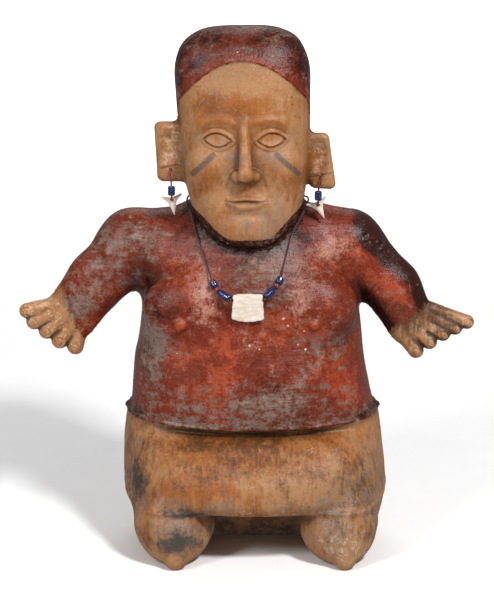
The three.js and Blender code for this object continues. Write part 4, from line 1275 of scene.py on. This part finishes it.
def make_clay_paint():
    paint = Paint("painted_clay", Specular_IOR_Level=0.28)
    bare, bright, grey = (paint.layer(name) for name in ("bare", "bright", "grey"))
    ochre, soot_and_shade, pale_and_highlight, stripe = (paint.layer(name) for name in ("ochre", "soot_and_shade", "pale_and_highlight", "stripe"))
    broad = paint.noise(22, 5, 0.62, bend=0.6)
    middle = paint.noise(6, 5, 0.65, bend=0.4)
    fine = paint.noise(1.7, 4, 0.7)
    grain = paint.noise(0.7, 2, 0.6)
    strokes = paint.noise(5, 4, 0.65, stretch=(0.35, 0.35, 1.6), bend=0.3)
    downward = paint.noise(5, 4, 0.65, stretch=(1.6, 1.0, 0.3), bend=0.3)

    # The red slip, from nearly black to brick, with rubbed lilac and brown patches.
    # Its nearly black end also paints the shadow below the chin and the shade along the arms.
    shade = paint.total(bright, (broad, 1.1), (middle, 0.9), (fine, 0.5))
    slip = paint.mix(DARK_SLIP_AND_SHADOW, RED_SLIP, paint.step(shade, -1.0, 0.05))
    slip = paint.mix(slip, BRIGHT_SLIP, paint.step(shade, 0.1, 1.0))
    rubbed = paint.total(grey, (middle, 1.2), (strokes, 1.0), (fine, 0.7))
    slip = paint.mix(slip, GREY_BROWN, paint.step(rubbed, -0.1, 1.2))
    slip = paint.mix(slip, LILAC, paint.step(paint.plus(rubbed, broad, 0.8), 0.1, 1.4))
    highlight_and_cream = paint.total(pale_and_highlight, (middle, 1.1), (strokes, 0.5), (fine, 0.9))
    # Painted highlights of the burnish, in pink, on the slip.
    slip = paint.mix(slip, HIGHLIGHT_PINK, paint.step(highlight_and_cream, 0.15, 1.5))

    # The bare clay, buff to ochre, greyed by handling and stained, with painted shade in the hollows of
    # the hands.
    warm = paint.total(ochre, (broad, 0.9), (middle, 0.7), (downward, 0.5))
    earth = paint.mix(BUFF, OCHRE, paint.step(warm, 0.0, 0.8))
    earth = paint.mix(earth, GOLD, paint.step(paint.plus(warm, fine, 0.8), 0.7, 1.4))
    earth = paint.mix(earth, MAUVE, paint.step(paint.plus(rubbed, grey, 0.3), 0.1, 1.2))
    earth = paint.mix(earth, CREAM, paint.step(highlight_and_cream, 0.3, 1.0))
    stain_and_shade = paint.total(paint.layer("stain_and_shade"), (downward, 1.2), (fine, 1.3), (broad, 0.7))
    earth = paint.cover(earth, UMBER, paint.step(stain_and_shade, 0.2, 1.5), 0.85)

    edge = paint.total(bare, (middle, 0.9), (fine, 0.7))
    is_bare = paint.step(edge, -0.22, 0.22)
    colour = paint.mix(slip, earth, is_bare)

    # Painted stripes, soot from the firing with painted shade between the legs, pits, flecks and
    # scratches.
    line = paint.total(stripe, (middle, 0.16), (fine, 0.12))
    colour = paint.cover(colour, STRIPE_GREY, paint.step(line, 0.72, 0.3), 0.72)
    smoke_and_shade = paint.total(soot_and_shade, (middle, 1.1), (broad, 0.7), (fine, 0.7))
    colour = paint.cover(colour, SOOT_AND_SHADE, paint.step(smoke_and_shade, 0.0, 1.3), 0.9)
    where_pitted = paint.step(paint.plus(paint.layer("pitted"), middle, 1.4), 0.25, 0.8)
    pits = paint.math("MULTIPLY", paint.specks(2.6, 0.34, 0.3), where_pitted)
    colour = paint.cover(colour, PIT_BROWN, pits, 0.85)
    where_flecked = paint.step(paint.plus(paint.layer("flecked"), broad, 1.2), 0.1, 0.7)
    flecks = paint.math("MULTIPLY", paint.specks(4.2, 0.3, 0.16), where_flecked)
    colour = paint.cover(colour, SPECK, flecks, 0.9)
    cells = paint.cells(17, "DISTANCE_TO_EDGE", (1, 1, 0.55))
    scratches = paint.step(cells.outputs["Distance"], 0.012, 0.003)
    scratches = paint.math("MULTIPLY", scratches, paint.step(broad, 0.06, 0.2))
    scratches = paint.math("MULTIPLY", scratches, paint.step(middle, 0.0, 0.25))
    colour = paint.cover(colour, SCRATCH_PINK, scratches, 0.4)
    value = paint.total(1.0, (grain, 0.3), (fine, 0.35))
    # Painted shade: every colour darkened in the clay's hollows.
    value = paint.math("MULTIPLY", value, paint.plus(1.0, paint.layer("hollow_shade"), -0.62))
    tone = paint.add("ShaderNodeCombineColor")
    for socket in tone.inputs:
        paint.feed(socket, value)
    paint.colour(paint.mix(colour, tone.outputs[0], 1.0, "MULTIPLY"))

    rough = paint.total(0.31, (middle, 0.25), (fine, 0.2), (paint.step(smoke_and_shade, 0.3, 1), 0.15))
    paint.gloss(paint.total(rough, (is_bare, 0.08), (paint.layer("dull"), 0.4)))
    height = paint.total(0.0, (grain, 0.35), (fine, 0.7), (strokes, 1.3), (downward, 0.8))
    height = paint.total(height, (pits, -1.2), (flecks, -0.5), (scratches, -0.25))
    paint.bump(height, 0.16)
    return paint.material


def make_glass(name, deep, light):
    """Streaky glass with dust in its hollows."""
    paint = Paint(name, Specular_IOR_Level=0.6, Coat_Weight=0.5, Coat_Roughness=0.06)
    swirl = paint.noise(2.4, 3, 0.6, stretch=(1, 1, 2.2), bend=1.2)
    fine = paint.noise(0.5, 3, 0.7)
    colour = paint.mix(deep, light, paint.step(paint.plus(swirl, fine, 0.5), -0.1, 0.45))
    dust = paint.step(paint.plus(paint.noise(1.1, 4, 0.7), fine, 0.4), 0.16, 0.4)
    paint.colour(paint.cover(colour, DUST, dust, 0.3))
    paint.gloss(paint.total(0.16, (dust, 0.25), (fine, 0.1)))
    paint.bump(paint.plus(swirl, fine, 0.3), 0.06)
    return paint.material


def make_shell():
    """Old shell, chalky white with growth lines, a pink blush and a few stains."""
    paint = Paint("shell", Specular_IOR_Level=0.45)
    growth = paint.noise(7, 4, 0.6, stretch=(0.6, 1, 2.4), bend=0.7)
    broad = paint.noise(11, 3, 0.5)
    fine = paint.noise(0.9, 4, 0.7)
    lit = paint.step(paint.plus(growth, fine, 0.4), -0.15, 0.2)
    colour = paint.mix(SHELL_DEEP, SHELL_LIGHT, lit)
    blush = paint.step(paint.plus(broad, growth, 0.6), 0.14, 0.36)
    colour = paint.cover(colour, SHELL_BLUSH, blush, 0.55)
    stain = paint.step(paint.plus(paint.noise(4, 4, 0.7), fine, 0.5), 0.2, 0.42)
    paint.colour(paint.cover(colour, SHELL_STAIN, stain, 0.4))
    paint.gloss(paint.plus(0.42, growth, 0.35))
    paint.bump(paint.total(growth, (fine, 0.45), (stain, -0.5)), 0.14)
    return paint.material


def make_cord_paint(name, deep, light):
    """Spun fibre: fine threads along the plies, faded where it is rubbed."""
    paint = Paint(name, Sheen_Weight=0.3, Sheen_Roughness=0.5, Specular_IOR_Level=0.25)
    fibre = paint.noise(0.35, 3, 0.7, stretch=(1, 1, 0.4))
    fade = paint.noise(5, 3, 0.6)
    paint.colour(paint.mix(deep, light, paint.step(paint.plus(fibre, fade, 0.8), -0.3, 0.5)))
    paint.gloss(paint.plus(0.8, fibre, 0.2))
    paint.bump(fibre, 0.12)
    return paint.material


make_camera()
clay_paint = make_clay_paint()
blue_glass = make_glass("blue_glass", *BLUE_GLASS)
red_glass = make_glass("red_glass", *RED_GLASS)
shell_white = make_shell()
string_dark = make_cord_paint("dark_string", *STRING_COLOURS)
thread_red = make_cord_paint("red_thread", *THREAD_COLOURS)


def make_necklace():
    turn, origin = plaque_place()
    half = plaque_half_width(PLAQUE_BORE_DROP)
    bores = {side: turn @ (side * half, -PLAQUE_BORE_DROP, 0) + origin for side in (-1, 1)}
    low = (-PLAQUE_BOTTOM_WIDTH / 2, -PLAQUE_HEIGHT - PLAQUE_SAG - 0.5, -PLAQUE_THICKNESS / 2)
    high = (PLAQUE_BOTTOM_WIDTH / 2, 1, PLAQUE_THICKNESS / 2)
    plaque = traced_piece("shell_plaque_cut", plaque_form, low, high, 0.3, turn, origin)
    pieces = [dress(plaque, ["shell_plaque"], "shell", shell_white)]
    routes = {}
    for which, form in CHAINS.items():
        beads, routes[which] = chain(start=bores[form["side"]], **form)
        for name, near_end, far_end, diameter in beads:
            node = f"{which}_{name}"
            bead = make_bead(f"{node}_glass", near_end, far_end, diameter, STRING_BORE)
            glass = ("red_glass", red_glass) if name == "spacer_bead" else ("blue_glass", blue_glass)
            pieces.append(dress(bead, [node], *glass))
    off = STAND_OFF + STRING_DIAMETER / 2
    strands = {which: list(on_clay(np.array(p) * UNIT, off)) for which, p in STRAND.items()}
    knot_place = on_clay(np.array(NAPE) * UNIT, STAND_OFF + KNOT_RADIUS)[0]
    reach = np.array([KNOT_RADIUS + KNOT_GAP, 0, 0])
    route = [knot_place - reach, *strands["left"][::-1], *routes["left"][::-1]]
    route += [bores[-1], (bores[-1] + bores[1]) / 2, bores[1]]
    route += [*routes["right"], *strands["right"], knot_place + reach]
    knot = make_knot("necklace_knot_tied", knot_place, (1, 0, 0), STRING_DIAMETER)
    pieces.append(dress(knot, ["necklace_knot"], "dark_string", string_dark))
    string, line = twisted_cord("necklace_string_laid", route, STRING_DIAMETER)
    dress(string, ["necklace_string"], "dark_string", string_dark)


def make_pendant(which):
    route, lobe_knot, tooth_knot, bead_ends, (centre, turn) = pendant(which, **HANG[which])
    bead = make_bead(f"{which}_ear_bead_glass", *bead_ends, EAR_BEAD_DIAMETER, THREAD_BORE)
    pieces = [dress(bead, [f"{which}_ear_bead"], "blue_glass", blue_glass)]
    low = (-TOOTH_SPAN / 2 - 0.5, -TOOTH_LENGTH, -TOOTH_THICKNESS / 2)
    high = (TOOTH_SPAN / 2 + 0.5, 2 * TOOTH_HOLE_DROP, TOOTH_THICKNESS / 2)
    tooth = traced_piece(f"{which}_ear_tooth_cut", tooth_form, low, high, 0.3, turn, centre)
    pieces.append(dress(tooth, [f"{which}_ear_tooth"], "shell", shell_white))
    for name, place in (("lobe_knot", lobe_knot), ("tooth_knot", tooth_knot)):
        knot = make_knot(f"{which}_{name}_tied", place, (0, 1, 0), THREAD_DIAMETER)
        pieces.append(dress(knot, [f"{which}_{name}"], "red_thread", thread_red))
    thread, line = twisted_cord(f"{which}_ear_thread_laid", route, THREAD_DIAMETER)
    dress(thread, [f"{which}_ear_thread"], "red_thread", thread_red)


make_necklace()
make_pendant("left")
make_pendant("right")
figure, clay_points = make_figure()
dress(figure, ["figure"], "painted_clay", clay_paint)


# Soft spots on the front for each layer, as (x, z, half width, half height, amount).
SPOTS = {
    "bright": [
        (-7.5, 32.4, 6, 5, 0.7), (-11, 39, 5, 3, 0.5), (-4.7, 41, 4, 5, 0.45), (17, 35, 6, 5, 0.55),
        (5.6, 43.9, 5, 4, 0.4), (-16, 56, 5, 3, 0.4), (17, 55, 6, 4, 0.45), (30, 50, 5, 4, 0.35),
        (23.7, 50.5, 4, 3, 0.5), (0, 96, 11, 7, 0.35), (-13, 45, 1.3, 1.3, 1.1),
        # The spot at (0, 60) is painted shadow: the head's shadow on the neck and the chest.
        (12.1, 45, 1.3, 1.3, 1.0), (0, 60, 9, 4, -1.2),
    ],
    "grey": [
        (-24.5, 59.2, 6, 4.5, 0.75), (-28, 52, 4, 4, 0.4), (-19.2, 40, 2.8, 10, 0.8),
        (0.9, 55.8, 7, 3.5, 0.55), (2.8, 30.3, 12, 4.6, 0.95), (14.5, 40.5, 6, 3.2, 0.55),
        (-16, 41, 4, 3, 0.55), (-12, 29, 4, 3, 0.4), (0, 65.5, 8, 4, 0.5), (-3, 76.7, 2.6, 1.6, 0.7),
        (3.6, 76.5, 2.6, 1.6, 0.7), (7, 51, 5, 4, 0.3), (1, 12.2, 18, 1.5, 0.5), (0, 84, 6, 1, 0.3),
        (20, 15, 4, 7, 0.4), (-20, 21, 5, 3, 0.4), (-33, 46.5, 3.4, 3, 0.8), (31.5, 42, 2.4, 3, 0.6),
        (17.5, 5.5, 6, 5, 0.75), (-14, 7, 6, 5, 0.9),
    ],
    "ochre": [
        (0, 85, 9, 3, 0.6), (-8.3, 72, 3, 3, 0.55), (9, 72.5, 3, 3.5, 0.6), (-7.5, 85.4, 2, 2.8, 0.9),
        (0, 73, 2.4, 5, 0.5), (0, 92, 7, 3, -0.6), (-6, 20, 10, 3, 0.6), (0, 23, 20, 2, 0.7),
        (-9, 15.5, 9, 3, 0.55), (10, 19, 9, 3.5, 0.35), (-14.5, 77, 1.5, 4, 0.2),
        (12.6, 75, 1.5, 3, 0.3), (18, 10, 6, 6, -0.3),
    ],
    "soot_and_shade": [
        (-21.3, 15.3, 2.2, 4, 1.7), (-13.8, 5.2, 5, 3, 1.75), (-12, 10.7, 5.5, 0.9, 1.5),
        (-1.9, 17.6, 3.5, 1.8, 0.75), (12, 17.2, 3, 1.8, 0.65), (-27, 60, 4, 2.4, 0.5),
        (-23, 8, 2, 5, 0.8), (10, 21, 2, 1.4, 0.4),
    ],
    "pale_and_highlight": [
        # On the slip these spots paint highlights; on the bare clay they are cream.
        (-8.5, 50.5, 2.6, 6.5, 1.15), (-14, 57, 5, 2.4, 0.5), (15.5, 58, 5, 2.6, 1.1),
        (9.5, 50, 3, 5, 0.95), (0, 92.5, 5, 2, 0.5), (-15.1, 76.4, 3, 5, 0.75),
        (13.1, 74.7, 3, 5, 0.6), (0, 11.2, 16, 0.8, 0.5), (0, 41.5, 4, 2.5, 0.45),
        (-31.5, 49.5, 4, 4, 0.5), (2, 17, 9, 3, 0.35), (17, 5, 5, 5, 0.35),
        (-6, 20.5, 8, 1.2, 0.35), (12, 21.5, 8, 1.2, 0.35), (17, 5, 5, 4, 0.3),
    ],
    "pitted": [
        (6.5, 87, 3.4, 2.6, 1.1), (8, 84, 2, 2, 0.6), (10, 19, 8, 3.5, 0.6), (-6, 18, 6, 3, 0.4),
        (9, 73, 3, 3, 0.4), (-9, 74, 3, 4, 0.4), (0, 66, 8, 5, 0.35), (17, 6, 5, 4, 0.5),
        (14, 14, 8, 4, 0.4),
    ],
    "stain_and_shade": [
        (-4, 22.6, 14, 1.6, 0.9), (10, 18, 10, 4, 0.35), (-14, 19, 8, 4, 0.3), (20, 12, 5, 7, 0.35),
        (0, 84, 9, 2, 0.1), (0, 78, 11, 14, -0.5), (-9, 78, 4, 6, 0.15), (9.5, 70, 4, 5, 0.3),
        (-9, 68, 3, 4, 0.2), (0, 88, 9, 6, -0.25), (-16, 8, 5, 5, 0.3), (36, 42, 6, 6, 1.25),
        (-10, 17, 12, 3, 0.2), (6, 14, 14, 4, 0.2),
    ],
    "flecked": [(8, 35, 10, 7, 0.6), (0, 43, 10, 6, 0.4), (14, 38, 5, 4, 0.5)],
}
SLIP_ABOVE_RIDGE = 0.4
STRIPE_START = np.array([5.9, 76.9])
STRIPE_END = np.array([9.9, 73.2])
OFF_REGION = -9


def blots(name, x, y, z):
    """The sum of a layer's soft spots on the front of the figure."""
    total = np.zeros(x.shape)
    for cx, cz, rx, rz, amount in SPOTS[name]:
        total += amount * bell(length((x - cx) / rx, (z - cz) / rz), 1)
    return total * ease(2, -3, y)


def hollowness(points):
    """How far the clay closes in round each point, from 0 in the open. It sets the painted shade in the
    hollows.
    """
    normals = slope_at(clay, points)
    hidden = np.zeros(len(points))
    for reach in (0.5, 1.2, 2.6, 5):
        clear = in_chunks(clay, points + normals * reach)
        hidden += clamp(1 - clear / reach, 0, 1) * 0.3
    return hidden


def hand_edge(x, z):
    """Above nought on the bare hands."""
    left_hand = -x - 34.1 + 0.4 * (44.4 - z)
    right_hand = (x - 31.5) * 0.55 - (z - 44.2) * 0.83
    hand = np.where(x < 0, left_hand, right_hand) * 0.45
    return np.where((np.abs(x) > 27) & (z > 30), hand, OFF_REGION)


def face_edge(hx, y, z, cap, jaw):
    """Above nought on the bare face and ears."""
    on_ear = (np.abs(hx) > 11.5) & (y < -2.5) & (z < 83.5)
    face = np.minimum(-1.7 * cap, 2.4 * jaw)
    face = np.where(on_ear, np.maximum(face, z - 67.5), face)
    return np.where((z > 57) & (y < 0.5), face, OFF_REGION)


def dark_arm_edge(x, z, points):
    """Painted shade, nearly black, along the outer and the inner edge of the right arm."""
    upper = (x - 19) * 0.676 + (z - 57.3) * 0.736
    beside = mix(upper, (x - 27.6) * 0.87 + (z - 49.4) * 0.5, ease(51, 48, z))
    edge = ease(1.2, 3.6, beside) + 0.8 * ease(-2.4, -4.4, beside)
    return edge * ease(18.5, 22, x) * ease(0.9, 0.2, in_chunks(right_arm, points))


def cheek_stripe(hx, y, z):
    """The distance from the painted stripe on each cheek."""
    out, rise = np.abs(hx) - STRIPE_START[0], z - STRIPE_START[1]
    run = STRIPE_END - STRIPE_START
    along = clamp((out * run[0] + rise * run[1]) / (run @ run), 0, 1)
    stripe = length(out - along * run[0], rise - along * run[1])
    return np.where((y < -6) & (z > 70) & (z < 80), stripe, -OFF_REGION)


def put_layers(mesh, points):
    """Values on the figure's points that say where each colour of slip, clay and soot lies, and where
    shadow, shade and highlights are painted.
    """
    x, y, z = points.T
    hx = x - head_x(z)
    hidden = hollowness(points)
    broad = cloud(x, y, z, 9)
    cap = z - cap_edge(hx, y)
    jaw = z - (60.9 + 5.5 * ease(3, 11, np.abs(hx)) + 4 * ease(-9, 0, y))
    # Painted shadow below the jaw, where the head shades the neck and the chest.
    under = ease(1.7, 0.2, in_chunks(head, points)) * ease(0.3, -0.6, jaw) * (z < 67)
    waist = waist_line(x) - SLIP_ABOVE_RIDGE - z
    fingers = hand_edge(x, z)
    # Painted shade along the right arm's edges.
    arm_edge = dark_arm_edge(x, z, points)
    spots = {name: blots(name, x, y, z) for name in SPOTS}

    bare = np.maximum(np.maximum(face_edge(hx, y, z, cap, jaw), waist), fingers)
    bright = 0.1 + 0.28 * broad + spots["bright"] - 1.6 * under - 1.9 * arm_edge
    bright -= 0.75 * ease(0, 3, cap) * (z > 60) + 0.4 * ease(3, 9, y)
    # Painted shade between the left arm and the body.
    bright -= 0.7 * bell(length((x + 17) / 4, (z - 49) / 5), 1) * (y < 0)
    bright -= 0.9 * ease(1.2, 0.2, np.abs(waist + 1)) * ease(19, 22, np.abs(x))
    grey = -0.1 + 0.3 * cloud(x, y, z * 0.4, 5) + spots["grey"] - 0.9 * arm_edge
    grey += 0.5 * bell(waist + 1, 1.2) + 0.3 * ease(2, 9, z - 90) + 0.25 * ease(4, 10, y)
    ochre = 0.25 + 0.3 * broad + spots["ochre"]
    soot_and_shade = -0.35 + 0.25 * broad + spots["soot_and_shade"]
    # Painted shade on the hollow between the legs, below the hem.
    soot_and_shade += 0.75 * ease(10.8, 9.4, z) * ease(9.5, 7.5, np.abs(x - 0.6)) * ease(-23, -20, y)
    soot_and_shade += 0.6 * ease(8, 14, y) * bell(length((x + 6) / 9, (z - 40) / 12), 1)
    # Painted highlights on the slip, and cream on the bare clay.
    pale_and_highlight = -0.15 + 0.2 * cloud(x + 9, y, z, 6) + spots["pale_and_highlight"]
    pale_and_highlight += 0.6 * ease(0.2, 1.6, fingers) + 0.55 * bell(waist + 0.1, 0.5) * ease(0, -8, y)
    stain_and_shade = 0.15 + 0.35 * cloud(x, y + 5, z, 5) + spots["stain_and_shade"] + 0.25 * ease(2, 8, y)
    stain_and_shade += 0.7 * bell(fingers + 0.1, 0.5) - 0.4 * ease(0.3, 2, fingers)
    # Painted shade: umber in the hollows of the bare hands.
    stain_and_shade += 1.6 * ease(0.2, 0.5, hidden) * ease(0, 1, fingers)
    layers = {
        "bare": bare,
        "bright": bright,
        "grey": grey,
        "ochre": ochre,
        "soot_and_shade": soot_and_shade,
        "pale_and_highlight": pale_and_highlight,
        "stripe": cheek_stripe(hx, y, z),
        "pitted": spots["pitted"],
        "stain_and_shade": stain_and_shade,
        "flecked": 0.05 + spots["flecked"] - 0.5 * ease(0, 1, bare),
        "dull": 0.35 * ease(0, 2, waist) * ease(4, 9, y) + 0.3 * ease(2, 8, y),
        "hollow_shade": clamp(hidden, 0, 1),
    }
    for name, values in layers.items():
        layer = mesh.attributes.new(name, "FLOAT", "POINT")
        layer.data.foreach_set("value", values.astype(np.float32))


put_layers(figure.data, clay_points)


FLOOR_HALF_WIDTH = 5
FLOOR_FRONT = -4
FLOOR_BACK = 2.6
FLOOR_BEND = 1.2
WALL_HEIGHT = 3.5
ROOM_LIGHT = 0.22


def make_room():
    """A white sweep: a level floor that curves up behind into a wall."""
    profile = [(FLOOR_FRONT, 0), (FLOOR_BACK, 0)]
    for a in np.linspace(0, math.pi / 2, 16)[1:]:
        profile.append((FLOOR_BACK + FLOOR_BEND * math.sin(a), FLOOR_BEND * (1 - math.cos(a))))
    profile.append((FLOOR_BACK + FLOOR_BEND, WALL_HEIGHT))
    points = [(x, y, z) for y, z in profile for x in (-FLOOR_HALF_WIDTH, FLOOR_HALF_WIDTH)]
    faces = [[2 * i, 2 * i + 1, 2 * i + 3, 2 * i + 2] for i in range(len(profile) - 1)]
    sweep = make_mesh("floor", points, faces)
    paint = Paint("white_floor", Specular_IOR_Level=0.2)
    paint.colour(paint.mix((0.86, 0.86, 0.86), (0.9, 0.9, 0.9), paint.noise(60)))
    paint.gloss(0.8)
    sweep.data.materials.append(paint.material)
    sweep.visible_glossy = False  # the burnished clay would mirror the white floor as a haze
    world = bpy.data.worlds.new("room")
    bpy.context.scene.world = world
    world.use_nodes = True
    background = world.node_tree.nodes["Background"]
    background.inputs["Color"].default_value = (1, 1, 1, 1)
    background.inputs["Strength"].default_value = ROOM_LIGHT


def make_light(name, place, aim, size, power):
    data = bpy.data.lights.new(name, "AREA")
    data.energy = power
    data.size = size
    light = bpy.data.objects.new(name, data)
    light.location = place
    light.rotation_euler = (Vector(aim) - Vector(place)).to_track_quat("-Z", "Y").to_euler()
    bpy.context.collection.objects.link(light)


# Each light is (name, place, the point it is aimed at, size in metres, power in watts).
MIDDLE = (0, 0, 0.22)
LIGHTS = [
    ("key", (0.75, -1.15, 1.55), MIDDLE, 0.28, 38),
    ("fill", (-1.15, -1.25, 1.2), MIDDLE, 0.45, 19),
    ("backdrop", (0, 2.7, 2.6), (0, 4, 0.7), 2, 110),
]

make_room()
bpy.context.scene.view_settings.view_transform = "Standard"
for light in LIGHTS:
    make_light(*light)
